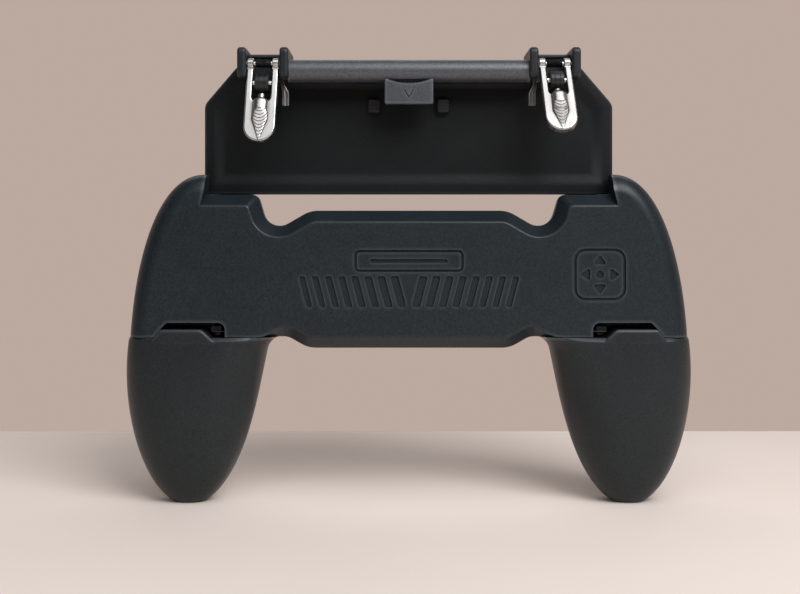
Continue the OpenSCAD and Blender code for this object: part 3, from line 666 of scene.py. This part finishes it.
def body_ring(shape, bevel, rounded, face):
    """One ring of a body shell. bevel is (inset, y, draft) and rounded (inset, y) on those kinds of edge."""
    n = len(shape)
    almost_straight, least_r = 0.8, 1.5

    def depth(edge, y):
        if edge.edge == "bevel":
            return bevel[0] + bevel[2] * edge.draft
        if edge.edge == "round":
            return rounded[0]
        r = edge.small
        over = r - abs(y - face)
        tiny = r - math.sqrt(max(0.0, r * r - over * over)) if over > 0 else 0.0
        return tiny + (max(tiny, bevel[0]) - tiny) * edge.bevelled

    flat, ys = [], []
    for j, v in enumerate(shape):
        before, after = shape[j - 1], shape[(j + 1) % n]
        y = bevel[1] + (rounded[1] - bevel[1]) * v.roundness
        p = np.array((v.x, v.z))
        n1, n2 = (-normal for normal in normals((before.x, before.z), p, (after.x, after.z)))
        d1, d2 = (depth(e, y) + (v.out * bevel[0] if e.edge == "small" else 0.0) for e in (before, v))
        c = float(n1 @ n2)
        if c > almost_straight:
            flat.append(p + (d1 + d2) / 2 * (n1 + n2) / (1 + c))
        else:
            flat.append(p + (d1 * (n1 - c * n2) + d2 * (n2 - c * n1)) / (1 - c * c))
        ys.append(y)
    flat = unfold([(v.x, v.z) for v in shape], flat)
    ring = []
    for j, v in enumerate(shape):
        pts = [flat[j]]
        if v.radius > 0:
            r = max(least_r, v.radius - bevel[0])
            pts = round_corner(flat[j], flat[j - 1], flat[(j + 1) % n], r, 8)
        ring += [(x, ys[j], z) for x, z in pts]
    return ring


def tab_top(x):
    """Height of a grip tab's upper edge at x, which the pocket's outer flank follows."""
    low, rise = 50.2, 3.8
    return low + rise * smooth(min((x - 57.4) / 6.0, (78.8 - x) / 4.2))


def front_shell():
    brow, foot = (BEVEL_IN, FRONT_Y), (0.0, BEVEL_Y)
    slope = (FRONT_Y - BEVEL_Y) / BEVEL_IN
    edge = round_corner(brow, (6.0, FRONT_Y), foot, 0.8, 5)
    edge += [(d, BEVEL_Y + slope * d) for d in (2.4, 1.2)]
    edge += round_corner(foot, brow, (0.0, -2.0), 1.3, 4)
    bevels = [(d, y, 0.0) for d, y in edge] + [(0.0, -2.4, 0.15)]
    bevels += [(d, -y, SEAM_DRAFT) for d, y in SEAM]
    rounds = [(d, FRONT_Y + w) for d, w in quarter(6.0, 6.4, len(edge) - 1)] + [(0.0, -1.8)]
    rounds += [(d, -y) for d, y in SEAM]
    shape = body_outline(FRONT_NOTCH, 0.35)
    ob = loft("front_shell", [body_ring(shape, b, r, FRONT_Y) for b, r in zip(bevels, rounds)])
    low, top, inner, outer, room = 49.0, 56.05, 55.6, 78.5, 0.2
    flank = [(x, tab_top(x) + room, 0) for x in np.linspace(75.4, 78.2, 12)]
    roof = [(inner, low, 0), (inner, top, 2.2), (73.2, top, 0.5), (75.0, 54.3, 0.2)]
    pocket = fillet(roof + flank + [(outer, low, 0)], 8)
    pockets = [plate("pocket", pts, -12.0, -1.3, "y") for pts in (pocket, mirrored(pocket))]
    cut(ob, joined("pockets", pockets))
    cut(ob, motif_cutters())
    finish_piece(ob, "body_front_shell", BODY, "body", ["front_shell"], 28)


def motif_cutters():
    """Plain engraved shapes: an empty frame over two rows of slanted bars, and a four-way key mark."""
    lo, hi, slope = -10.3, -9.25, 0.34
    splay = slope * (hi - lo)

    def stamp(pts):
        return loft("stamp", [[(u, lo, v) for u, v in inset(pts, -splay)], [(u, hi, v) for u, v in pts]])

    def band(outline, outer, inner):
        outer, inner = inset(outline, outer), inset(outline, inner)
        return ring_loft([(inset(outer, -splay), lo), (outer, hi), (inner, hi), (inset(inner, splay), lo)])

    marks = [
        band(rounded_rect((-16.5, 16.5), (71.4, 78.0), 1.6, 6), 0.2, 0.5),
        stamp(rounded_rect((-11.5, 11.5), (74.35, 75.05), 0.34, 4)),
    ]
    low, top, lean, r = 60.9, 69.9, 2.3, 0.35
    for side, _ in SIDES:
        for i in range(8):
            x = 1.1 + 4.05 * i
            w = 2.0 - 0.1 * i
            pts = fillet([(x, low, r), (x + w, low, r), (x + w + lean, top, r), (x + lean, top, r)], 3)
            marks.append(stamp(pts if side > 0 else mirrored(pts)))
    cx, cz, half = 57.7, 70.6, 7.9
    marks.append(band(rounded_rect((cx - half, cx + half), (cz - half, cz + half), 3.6, 8), 0.25, 0.65))
    marks.append(stamp(circle(1.0, 32, (cx, cz))))
    for arrow in quarter_turns([(3.2, -1.75), (5.7, 0.0), (3.2, 1.75)]):
        marks.append(stamp(fillet([(cx + u, cz + v, 0.3) for u, v in arrow], 3)))
    return joined("motif", marks)


def rear_shell():
    steps = 10
    bevels = [(d, y, SEAM_DRAFT) for d, y in SEAM[::-1]] + [(0.0, 5.0, 1.15)]
    for i, (d, w) in enumerate(quarter(2.0, 3.2, steps)[::-1]):
        bevels.append((d, REAR_Y - w, 1.4 + 0.5 * i / steps))
    rounds = SEAM[::-1] + [(0.0, 4.6)]
    rounds += [(d, REAR_Y - w) for d, w in quarter(5.4, 4.6, steps)[::-1]]
    shape = body_outline(REAR_NOTCH)
    ob = loft("rear_shell", [body_ring(shape, b, r, REAR_Y) for b, r in zip(bevels, rounds)])
    wells, rooms, barrels, bores = [], [], [], []
    mouth = [(WELL_R, SCREW_SEAT), (WELL_R, 9.55), (3.2, 10.3)]
    for side, _ in SIDES:
        for x, z in SHELL_SCREWS:
            wells.append(lathe("well", mouth, "y", (side * x, z), 40))
        wells.append(block("rail_room", between(side, 48.4, 61.1), (3.2, 8.35), (53.2, 97.0), 0.2))
        rooms.append(rod("room", "x", HINGE, CLEAR_R, *between(side, BARRELS[0][1], BARRELS[1][0])))
        for lo, hi in BARRELS:
            barrels.append(rod("barrel", "x", HINGE, BARREL_R, *between(side, lo, hi), chamfer=0.25))
        bores.append(rod("bore", "x", HINGE, 1.52, *between(side, 52.0, 82.0)))
    cut(ob, joined("wells", wells))
    cut(ob, joined("rooms", rooms))
    union(ob, joined("barrels", barrels))
    cut(ob, joined("bores", bores))
    finish_piece(ob, "body_rear_shell", BODY, "body", ["rear_shell"], 28)


# Grips

Section = namedtuple("Section", "x y half flare front rear power")
GRIP_X, GRIP_HALF, GRIP_DROP, GRIP_FRONT = 68.0, 21.5, 52.8, 15.65


def grip_seam(z):
    """y of the seam between the two halves of a grip."""
    return 1 + 3.2 * z / PART_Z


def grip_section(z, thin=0.0):
    """Level section of the right grip: its middle, half width, inner flare, depths and squareness."""
    share = z / PART_Z
    u = (PART_Z - z) / GRIP_DROP
    swell = max(0.0, 1 - abs(u) ** 2.2) ** (1 / 2.2)
    flared = clamp((z - 46.9) / 4.6)
    return Section(
        x=GRIP_X - 2.8 * share ** 4 - 0.4 * share,
        y=grip_seam(z),
        half=GRIP_HALF * math.sqrt(max(0.0, 1 - u * u)) - 0.35 * thin,
        flare=5.6 * (1 - math.sqrt(1 - flared * flared)),
        front=GRIP_FRONT * swell - thin,
        rear=(4.7 + 9.5 * smooth((PART_Z - z) / 24)) * swell - thin,
        power=2 / (2.4 + 1.6 * share ** 6),
    )


def grip_point(g, a):
    c, s = math.cos(a), math.sin(a)
    half = g.half + (g.flare if c < 0 else 0.0)
    depth = g.front if s < 0 else g.rear
    return (
        g.x + half * math.copysign(abs(c) ** g.power, c),
        g.y + depth * math.copysign(abs(s) ** g.power, s),
    )


def grip_levels():
    """(z, how much thinner) of a grip's rings, from its foot, with a worn edge, to its chamfered rim."""
    foot, edge, worn = [0, 0.05, 0.15, 0.35, 0.7, 1.2, 1.9, 2.8, 4.0], 0.5, 0.35
    rim, rim_h, rim_in, steps = 50.3, 1.12, 0.78, 8
    levels = [(z, worn * max(0.0, 1 - z / edge) ** 2) for z in foot]
    levels += [(z, 0.0) for z in np.linspace(5.5, 46.0, 34)]
    levels += [(z, 0.0) for z in (46.8, 47.6, 48.4, 49.2, 49.7, 50.0, rim)]
    return levels + [(rim + rim_h * k / steps, rim_in * (k / steps) ** 1.4) for k in range(1, steps + 1)]


def grip_half(front):
    """Half of the right grip, on one side of its seam, with a fine groove along the seam."""
    steps, groove, gap, lip, near = 56, 0.2, 0.015, 0.2, 0.3
    base, away, inward = (math.pi, -1, groove) if front else (0.0, 1, -groove)
    rings = []
    for z, thin in grip_levels():
        g = grip_section(z, thin)
        ring = []
        for i in range(steps + 1):
            w = i / steps - 0.55 * math.sin(4 * math.pi * i / steps) / (4 * math.pi)
            x, y = grip_point(g, base + math.pi * w)
            if abs(y - g.y) <= near:
                y = g.y + away * (near + 0.01 * (min(i, steps - i) - 1))
            ring.append((x, y, z))
        first, last = ring[0][0], ring[-1][0]
        lead = [(first + inward, g.y + away * gap, z), (first, g.y + away * lip, z)]
        tail = [(last, g.y + away * lip, z), (last - inward, g.y + away * gap, z)]
        rings.append(lead + ring[1:-1] + tail)
    return loft("grip_half", rings)


def tab_shape():
    """The tab that rises from a grip's front rim into the body's pocket, flush with the grip's curve."""
    low, back, flush = 46.6, -2.8, 49.92
    rise_steps, edge_steps, edge_h, edge_d = 14, 6, 0.62, 0.42
    proud, sunk = 0.012, 0.3
    rings = []
    for x in np.linspace(57.0, 79.2, 75):
        top = tab_top(x)
        rows = []
        for k in range(rise_steps + 1):
            rows.append((low + (top - edge_h - low) * (1 - (1 - k / rise_steps) ** 1.5), 0.0))
        for k in range(1, edge_steps + 1):
            t = k / edge_steps
            rows.append((top - edge_h * (1 - t), edge_d * t ** 1.2))
        ring = [(x, back, low)]
        for z, off in rows:
            g = grip_section(min(z, flush))
            half = g.half + (g.flare if x < g.x else 0.0)
            e = 2 / g.power
            front = g.y - g.front * (1 - (abs(x - g.x) / half) ** e) ** (1 / e)
            ring.append((x, front - proud + off + sunk * smooth(49.95 - z), z))
        rings.append(ring + [(x, back, top)])
    return loft("tab", rings)


def grips():
    knuckle = (BARRELS[0][1] + HINGE_GAP, BARRELS[1][0] - HINGE_GAP)
    for side, label in SIDES:
        front = grip_half(True)
        union(front, tab_shape())
        rear = grip_half(False)
        union(rear, rod("knuckle", "x", HINGE, BARREL_R, *knuckle, chamfer=0.25))
        wells = []
        for x, z in GRIP_SCREWS:
            wells.append(rod("well", "y", (x, z), WELL_R, grip_seam(z) + SCREW_SEAT, 30.0, n=40))
        for lo, hi in BARRELS:
            wells.append(rod("room", "x", HINGE, CLEAR_R, lo - HINGE_GAP, hi + HINGE_GAP))
        cut(rear, joined("wells", wells))
        cut(rear, rod("bore", "x", HINGE, 1.55, 53.0, 81.0))
        for ob, part in ((front, "front"), (rear, "rear")):
            finish_piece(on_side(ob, side), f"{label}_grip_{part}_half", GRIP, f"{label}_grip",
                         [f"{label}_grip_{part}"])


# Clamp

def panel():
    """The back plate, with a tray-like hollow that a cove leads down to."""
    pts = even([(63.8, 95.2, 1.0), (63.8, 123.3, 4.0), (53.8, 135.0, 1.5)], 8)
    cove_from, cove_wide, cove_deep, steps = 2.6, 4.4, 0.7, 12
    back_edge = [(0.55, PANEL_BACK), (0.28, 4.52), (0.08, 4.32), (0.0, 4.05)]
    front_edge = [(0.0, 2.55), (0.06, 2.27), (0.22, 2.07), (0.45, PANEL_FRONT)]
    profile = back_edge + front_edge
    for k in range(steps + 1):
        profile.append((cove_from + cove_wide * k / steps, PANEL_FRONT + cove_deep * smooth(k / steps)))
    rings = []
    for d, y in profile:
        rings.append([(u, y, v) for u, v in (inset(pts, d) if d else pts)])
    ob = loft("panel", rings)
    # The panel takes the darker plastic, which paints shade on it.
    finish_piece(ob, "clamp_back_panel", PANEL, "clamp", ["clamp_panel"], 28)


def smile(half, top, dip, low):
    """A lens with a straight upper edge at top, whose lower edge sinks by dip in the middle."""
    pts = [(half * t, low - dip * (1 - t * t)) for t in np.linspace(-1, 1, 25)]
    return pts + [(half, top), (-half, top)]


def hood():
    """The shelf with the triggers' ears, and the round bar along its front."""
    ears, ear_t, low, top, front, back = (36.2, 48.9), 2.7, 129.6, 139.1, -13.0, 4.6
    step_y, step_z = 1.93, 135.04
    ear = fillet([(step_y, low, 0.3), (step_y, step_z, 0), (back, step_z, 0.2), (back, top, 0.9),
                  (front, top, 1.7), (front, low, 2.2)], 8)
    bar = rod("bar", "x", HOOD_BAR, HOOD_BAR_R, -36.7, 36.7, chamfer=0.1, n=72)
    shelf = block("shelf", (-36.85, 36.85), (-7.5, 1.6), (133.25, 135.2), 0.3, 0.0, "x")
    union(shelf, block("rib", (-50.2, 50.2), (-1.5, 2.0), (129.75, 135.0), 0.4, 0.2, "x"))
    for side, _ in SIDES:
        for x in ears:
            union(shelf, plate("ear", ear, *between(side, x, x + ear_t), "x", 0.85, 0.85, 6))
        union(shelf, block("wall", between(side, 37.4, 50.1), (2.1, 4.5), (134.6, 138.7), 0.5, 0.1, "x"))
        union(shelf, block("cover", between(side, 37.5, 50.0), (-4.6, 4.2), (137.0, 137.95), 0.3, 0.1, "x"))
    holes = [rod("pin_hole", "x", PIVOT, 0.72, *between(side, 35.0, 53.0), n=32) for side, _ in SIDES]
    cut(shelf, joined("pin_holes", holes))
    for ob in (shelf, bar):
        cut(ob, block("tongue_slot", (-5.2, 5.2), (-9.1, -6.2), (125.0, 134.4), 0.3))
    cut(bar, plate("scoop", smile(6.3, 129.8, 0.6, 128.3), -12.0, -8.1, "y"))
    finish_piece(shelf, "clamp_top_hood", CLAMP, "clamp", ["clamp_hood"])
    # The bar takes the paler plastic, a painted highlight.
    finish_piece(bar, "clamp_front_bar", BAR_PALER_FOR_HIGHLIGHT, "clamp", ["clamp_hood"])


def retainer():
    """The hook tab under the bar, on a tongue that slides in the hood."""
    half, low, top, lean, clearance = 7.4, 122.0, 129.8, 0.07, 0.12
    ob = plate("retainer", even([(half, low, 0.7), (half, top, 0.3)], 5), -11.0, -8.2, "y", 0.45, 0.2, 5)
    for v in ob.data.vertices:
        v.co.y += lean * (v.co.z - low)
    cut(ob, rod("bar_room", "x", HOOD_BAR, HOOD_BAR_R + clearance, -8.0, 8.0, n=72))
    union(ob, block("tongue", (-5.0, 5.0), (-8.9, -6.4), (125.0, 134.1), 0.3, 0.2))
    cut(ob, plate("dip", smile(6.2, 131.0, 1.2, 129.5), -12.0, -8.1, "y"))
    wide, stroke, mark_top, mark_low = 1.62, 0.5, 126.45, 123.85
    chevron = [
        (-wide, mark_top, 0.1), (stroke - wide, mark_top, 0.1), (0, 124.5, 0),
        (wide - stroke, mark_top, 0.1), (wide, mark_top, 0.1), (0, mark_low, 0.12),
    ]
    cut(ob, plate("mark", fillet(chevron, 3), -12.0, -10.4, "y"))
    # The tab takes the paler plastic, a painted highlight.
    finish_piece(ob, "phone_retainer_tab", HOOK, "retainer", ["phone_retainer"])


def pads():
    made = []
    for side, _ in SIDES:
        x = between(side, 8.85, 12.75)
        pad = plate("pad", rounded_rect(x, (120.5, 125.0), 0.8, 6), 0.0, 2.72, "y", 0.6, 0.05, 5)
        grooves = []
        for z in (121.6, 122.55, 123.5):
            grooves.append(block("groove", (x[0] - 1, x[1] + 1), (-1.0, 0.22), (z, z + 0.35), 0.05))
        cut(pad, joined("grooves", grooves))
        made.append(pad)
    finish_piece(joined("pads", made), "panel_rubber_pads", PAD, "clamp", ["panel_pads"])


def strips():
    """Sprung strips of sheet metal with a channel along the front, bent outward at the top."""
    x, half, front, back, r = 37.6, 1.0, -6.9, -5.82, 0.1
    channel = [(-0.7 * math.cos(a), front + 0.8 * math.sin(a), 0) for a in np.linspace(0, math.pi, 13)]
    section = fillet([(-half, front, r)] + channel + [(half, front, r), (half, back, r), (-half, back, r)], 3)
    for side, label in SIDES:
        rings = []
        for z in np.linspace(129.58, 122.05, 33):
            bend = smooth((z - 125.4) / 3.4)
            rings.append([(x + 0.9 * bend + u * (1 - 0.45 * bend), v, z) for u, v in section])
        finish_piece(on_side(loft("strip", rings), side), f"{label}_sprung_strip", NICKEL, "clamp",
                     [f"{label}_contact_strip"])


def rails_and_guides():
    """The rails that carry the panel, each with a foot, a spring's groove and ticks, and their collars."""
    foot, half, low, foot_top, top = 6.0, 4.75, 55.2, 56.7, 122.0
    rail_half = [(foot, low, 0.3), (foot, foot_top, 0.3), (half, foot_top, 0.25), (half, top, 1.2)]
    outer, inner, front, bed, back = 6.1, 4.95, 3.25, 4.4, 8.28
    collar_half = [(outer, front, 0.5), (outer, back, 0.2), (inner, back, 0.15), (inner, bed, 0.1)]
    tick_x, tick_low, tick_pitch = (RAIL_X + 2.4, RAIL_X + 4.0), 62.0, 5.0
    for side, label in SIDES:
        rail = plate("rail", even(rail_half, 5, RAIL_X), PANEL_BACK, RAIL_BACK, "y", 0.25, 0.4)
        cuts = [block("groove", (RAIL_X - 1.45, RAIL_X + 1.45), (3.0, 7.4), (50.0, 111.5), 0.5)]
        for z in RAIL_SCREW_Z:
            cuts.append(rod("hole", "y", (RAIL_X, z), 0.9, 3.0, 10.0, n=32))
        for k in range(9):
            z = tick_low + tick_pitch * k
            cuts.append(block("tick", tick_x, (7.95, 9.0), (z, z + 0.5), 0.1))
        cut(rail, joined("rail_cuts", cuts))
        guide = plate("guide", even(collar_half, 4, RAIL_X), 92.2, LEDGE_Z, "z", 0.1, 0.25)
        finish_piece(on_side(rail, side), f"{label}_rail", CLAMP, "clamp",
                     [f"{label}_slide_rail"])
        finish_piece(on_side(guide, side), f"{label}_guide_collar", ACETAL, "body",
                     [f"{label}_rail_guide"])


# Triggers

LEVER_LONG, LEVER_HALF, FORK_HALF, LEVER_FACE = 24.8, 4.75, 2.8, -1.1
TILTS, LEVER_LEAN = {"left": 13.6, "right": 30.0}, 0.032


def at_pivot(ob, side, tilt):
    """Hangs a shape from its pivot. The levers lean a little outward, as they do in the photograph."""
    lean = Matrix.Identity(4)
    lean[0][2] = -side * LEVER_LEAN
    turn = Matrix.Rotation(math.radians(-tilt), 4, "X")
    ob.data.transform(Matrix.Translation((side * PIVOT_X, *PIVOT)) @ turn @ lean)
    return ob


def bullet():
    """The bullet-shaped relief on a lever's face, with terraces over its nose as a cast part has."""
    start, shoulder, tip, rows, cols = 11.3, 18.2, 24.62, 210, 44
    pitch, tread, climb, sunk = 1.0, 0.26, 0.84, 0.35
    rings = []
    for i in range(rows + 1):
        d = start + (tip - start) * i / rows
        u = min(1.0, max(0.02, d - start) / 1.5)
        dome = math.sqrt(1 - (1 - u) ** 2)
        nose = (d - shoulder) / (tip - shoulder)
        t = clamp((d - 14.6) / 3.6)
        if nose > 0:
            wide, crest = 2.55 - 2.37 * nose ** 0.94, 1.1 - 1.02 * nose
        else:
            wide, crest = (2.4 + 0.15 * t) * dome, (1.72 - 0.62 * smooth(t)) * dome ** 0.7
        stepped = clamp((d - 14.9) / 0.9) * min(1.0, (tip - d) / 2.0)
        over, under = [], []
        for k in range(cols + 1):
            x = math.sin(math.pi / 2 * (2 * k / cols - 1))
            h = crest * math.sqrt(max(0.0, 1 - x * x))
            turn = (d + 0.75 * wide * x * x) / pitch % 1.0
            tooth = turn / climb if turn < climb else (1 - turn) / (1 - climb)
            h += tread * (tooth - 0.5) * stepped * (1 - smooth((abs(x) - 0.72) / 0.26))
            over.append((x * wide, LEVER_FACE - h, -d))
            under.append((x * wide, LEVER_FACE + sunk, -d))
        rings.append(over + under[::-1])
    return loft("bullet", rings)


def lever():
    """A forked lever that hangs straight down from a pivot at the origin."""
    r, crotch, thick = 1.3, -12.2, 1.1
    foot = [polar((0.0, LEVER_HALF - LEVER_LONG), LEVER_HALF, a) for a in np.linspace(180, 360, 33)]
    inner = [polar((FORK_HALF - r, crotch + r), r, a) for a in np.linspace(0, -90, 9)]
    arm = [(LEVER_HALF, -14.0), (LEVER_HALF, 0.0), (FORK_HALF, 0.0), (FORK_HALF, -8.0)]
    pts = foot + arm + inner + mirrored(arm + inner)
    ob = plate("lever", pts, LEVER_FACE, thick, "y", 0.5, 0.32, 5)
    necks = []
    for side, _ in SIDES:
        union(ob, rod("eye", "x", (-0.25, 0.0), 1.5, *between(side, FORK_HALF, LEVER_HALF), chamfer=0.22))
        necks.append(rod("neck", "x", (-1.32, -1.78), 0.5, *between(side, 2.0, 5.5)))
    cut(ob, joined("necks", necks))
    union(ob, bullet())
    union(ob, lathe("stub", [(0.9, -9.7), (1.02, -9.82), (1.02, -11.0), (1.02, -13.4)], "z", (0, 0.35), 32))
    cut(ob, rod("bore", "x", (0.0, 0.0), 0.75, -8.0, 8.0, n=40))
    return ob


def roller_shape():
    """A roller with rounded rims and two fine grooves."""
    rim = [(0.82, 2.1), (2.2, 2.1), (2.5, 2.02), (2.68, 1.8), (2.7, 1.5)]
    groove = [(2.7, 0.95), (2.62, 0.85), (2.62, 0.75), (2.7, 0.65)]
    half = rim + groove
    return lathe("roller", [(r, -w) for r, w in half] + half[::-1], "x", ROLLER, 56)


def return_spring(x):
    """A torsion spring on the pivot pin, with one leg that rests on the hood."""
    half, r, leg_steps = 2.25, 1.02, 6
    path = helix("x", PIVOT, x - half, x + half, r, 10.5, 32, math.pi / 2)
    end = path[-1]
    leg = [(end[0], end[1] + 0.5 * k, end[2] - 0.02 * k) for k in range(1, leg_steps + 1)]
    return sweep("coil", path + leg, 0.2, 8)


def triggers():
    for side, label in SIDES:
        body, tilt, x = f"{label}_trigger", TILTS[label], side * PIVOT_X
        finish_piece(at_pivot(lever(), side, tilt), f"{label}_forked_lever", NICKEL, body,
                     [f"{label}_trigger_lever"], 24)
        finish_piece(at_pivot(roller_shape(), side, tilt), f"{label}_roller", RUBBER, body,
                     [f"{label}_contact_roller"])
        axle = pin("axle", 0.8, (-4.7, 4.7), ROLLER, 32, shoulder=0.04)
        finish_piece(at_pivot(axle, side, tilt), f"{label}_roller_axle", PIN, body,
                     [f"{label}_roller_pin"])
        pivot = pin("pivot", 0.7, (x - 7.6, x + 7.6), PIVOT, 32)
        finish_piece(pivot, f"{label}_pivot_pin", PIN, "clamp", [f"{label}_trigger_pin"])
        finish_piece(return_spring(x), f"{label}_return_spring", COIL, "clamp",
                     [f"{label}_trigger_spring"], 40)


# Small hardware

SHELL_SCREW = {"length": 9.9, "d": 2.38, "head_d": 4.7, "head_h": 1.75}
GRIP_SCREW = {"length": 10.4, "d": 2.38, "head_d": 4.7, "head_h": 1.75}
RAIL_SCREW = {"length": 4.5, "d": 1.58, "head_d": 3.75, "head_h": 1.35}
HOOD_SCREW = {"length": 5.1, "d": 1.98, "head_d": 3.75, "head_h": 1.35}


def screw(x, y, z, length, d, head_d, head_h):
    """A pan-head screw with a cross recess, driven from behind. Its head sits on the plane at y."""
    r, shank, pitch, thread, tip, crown = head_d / 2, d / 2, 0.4, 0.16, 0.35, 0.45
    profile = [(shank - 0.25, y - length), (shank, y - length + tip)]
    w = y - length + tip
    while w < y - 0.6:
        profile += [(shank, w), (shank - thread, w + pitch / 2), (shank, w + pitch)]
        w += pitch
    profile += [(shank, y), (r - 0.08, y), (r, y + 0.08), (r, y + head_h * (1 - crown))]
    for i in range(1, 6):
        a = math.pi / 2 * i / 6
        out, up = 1 - crown + crown * math.cos(a), 1 - crown + crown * math.sin(a)
        profile.append((r * out, y + head_h * up))
    profile.append((r * 0.3, y + head_h))
    ob = lathe("screw", profile, "y", (x, z), 28)
    s, t = r * 0.62, r * 0.16
    cross = [(x + u, z + v) for arm in quarter_turns([(s, -t), (s, t), (t, t)]) for u, v in arm]
    cut(ob, plate("cross", cross, y + head_h * 0.45, y + head_h + 1, "y"))
    return ob


def screw_set(name, places, size, body, node):
    screws = [screw(*place, **size) for place in places]
    finish_piece(joined(name, screws), name, SCREW, body, [node])


def screws():
    shell = [(side * x, SCREW_SEAT, z) for x, z in SHELL_SCREWS for side, _ in SIDES]
    rail = [(side * RAIL_X, RAIL_BACK, z) for z in RAIL_SCREW_Z for side, _ in SIDES]
    top = [(side * x, PANEL_BACK, 132.5) for x in (18, 45.5) for side, _ in SIDES]
    screw_set("body_shell_screws", shell, SHELL_SCREW, "body", "shell_screws")
    screw_set("clamp_rail_screws", rail, RAIL_SCREW, "clamp", "rail_screws")
    screw_set("clamp_hood_screws", top, HOOD_SCREW, "clamp", "hood_screws")
    for side, label in SIDES:
        grip = [(side * x, grip_seam(z) + SCREW_SEAT, z) for x, z in GRIP_SCREWS]
        screw_set(f"{label}_grip_half_screws", grip, GRIP_SCREW, f"{label}_grip", f"{label}_grip_screws")


def fold_pins_and_catches():
    for side, label in SIDES:
        fold = pin("fold", 1.48, between(side, 54.1, 79.9), HINGE, 40, face=0.33, shoulder=0.08, end=0.3)
        catch = block("catch", between(side, 56.9, 60.3), (-7.4, -1.32), (53.25, 55.05), 0.6, 0.4)
        union(catch, block("stem", between(side, 57.3, 59.3), (-6.6, -1.4), (51.9, 53.6), 0.4, 0.25))
        union(catch, block("lip", between(side, 55.75, 60.0), (-8.2, -1.5), (53.1, 53.45), 0.15, 0.15))
        finish_piece(fold, f"{label}_fold_pin", PIN, "body", [f"{label}_hinge_pin"])
        finish_piece(catch, f"{label}_catch", ACETAL, "body", [f"{label}_latch_catch"])


def clamp_springs():
    """The springs in the rails' grooves, which stretch between the body and the clamp."""
    y, lo, hi, r, wire = 6.0, 57.25, 111.25, 0.92, 0.22
    for side, label in SIDES:
        x = side * RAIL_X
        ob = sweep("spring", helix("z", (x, y), lo, hi, r, 22, 20), wire, 8)
        ob.name = ob.data.name = f"{label}_clamp_spring"
        ob.data.transform(TO_FRAME)
        ob.data.shade_smooth()
        ob.data.materials.append(SPRING)
        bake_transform(ob)
        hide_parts(f"{label}_tension_spring")


# Stage, in metres

def floor():
    """A pale paper floor that ends at the foot of the backdrop."""
    reach, wall_y = 2.5, 0.122
    me = bpy.data.meshes.new("floor")
    corners = [(-reach, -reach, 0), (reach, -reach, 0), (reach, wall_y, 0), (-reach, wall_y, 0)]
    me.from_pydata(corners, [], [(0, 1, 2, 3)])
    mat, tree, at = material("floor_paper")
    colour = tree.ramp(tree.noise(at, 9.0, 3.0, 0.5), (0.86, 0.755, 0.69), (0.90, 0.795, 0.73))
    tree.fill(tree.shader, {"Base Color": colour, "Roughness": 0.75, "Specular IOR Level": 0.25})
    me.materials.append(mat)
    linked("floor", me)


def backdrop():
    """A world that is a plain wall behind the object, dim before it and overhead, and pale ground below."""
    wall, pale = (0.50, 0.395, 0.345), (0.56, 0.48, 0.44)
    dim, overhead = (0.05, 0.05, 0.054), (0.07, 0.07, 0.075)
    scene.world = bpy.data.worlds.new("studio")
    tree = Tree(scene.world, "Background")
    split = tree.add("SeparateXYZ", {"Vector": tree.coords("Generated")})
    behind = tree.span(split.outputs["Y"], 0.0, 1.0, -0.35, 0.5, "SMOOTHSTEP")
    above = tree.span(split.outputs["Z"], 0.0, 1.0, 0.34, 0.75, "SMOOTHSTEP")
    below = tree.span(split.outputs["Z"], 1.0, 0.0, -0.06, 0.0, "SMOOTHSTEP")
    room = tree.mix(above, tree.mix(behind, dim, wall), overhead)
    ground = tree.mix(behind, pale, wall)
    tree.fill(tree.shader, {"Color": tree.mix(below, room, ground)})


def lamp(name, at, to, size, watts, colour):
    data = bpy.data.lights.new(name, "AREA")
    data.shape = "RECTANGLE"
    data.size, data.size_y = size
    data.energy = watts
    data.color = colour
    ob = linked(name, data)
    ob.location = at
    ob.rotation_mode = "QUATERNION"
    ob.rotation_quaternion = (Vector(to) - Vector(at)).to_track_quat("-Z", "Y")
    ob.visible_camera = False


def lamps():
    middle, cool = (0, 0, 0.085), (0.98, 0.99, 1.0)
    lamp("key", (0.34, -0.53, 0.56), middle, (0.5, 0.42), 5.2, cool)
    lamp("top", (0.10, -0.30, 0.75), middle, (0.7, 0.4), 1.6, cool)
    lamp("back", (0.0, 0.42, 0.60), (0, 0.02, 0.03), (0.9, 0.25), 0.85, (1.0, 0.98, 0.96))
    lamp("fill", (-0.10, -0.59, 0.50), (0, 0, 0.1), (0.5, 0.3), 0.68, (0.96, 0.98, 1.0))


def camera():
    """A level camera. The shift puts the object as high in the picture as the photograph has it."""
    image_width, rise = 800, 67
    data = bpy.data.cameras.new("camera")
    data.lens, data.sensor_width = 50.0, 36.0
    data.shift_y = -rise / image_width
    data.clip_start, data.clip_end = 0.005, 20
    ob = linked("camera", data)
    ob.location = (-0.0027, -0.3423, 0.08407)
    ob.rotation_euler = (math.pi / 2, 0, 0)
    scene.camera = ob


front_shell()
rear_shell()
grips()
panel()
hood()
retainer()
pads()
strips()
rails_and_guides()
triggers()
screws()
fold_pins_and_catches()
clamp_springs()
floor()
backdrop()
lamps()
camera()
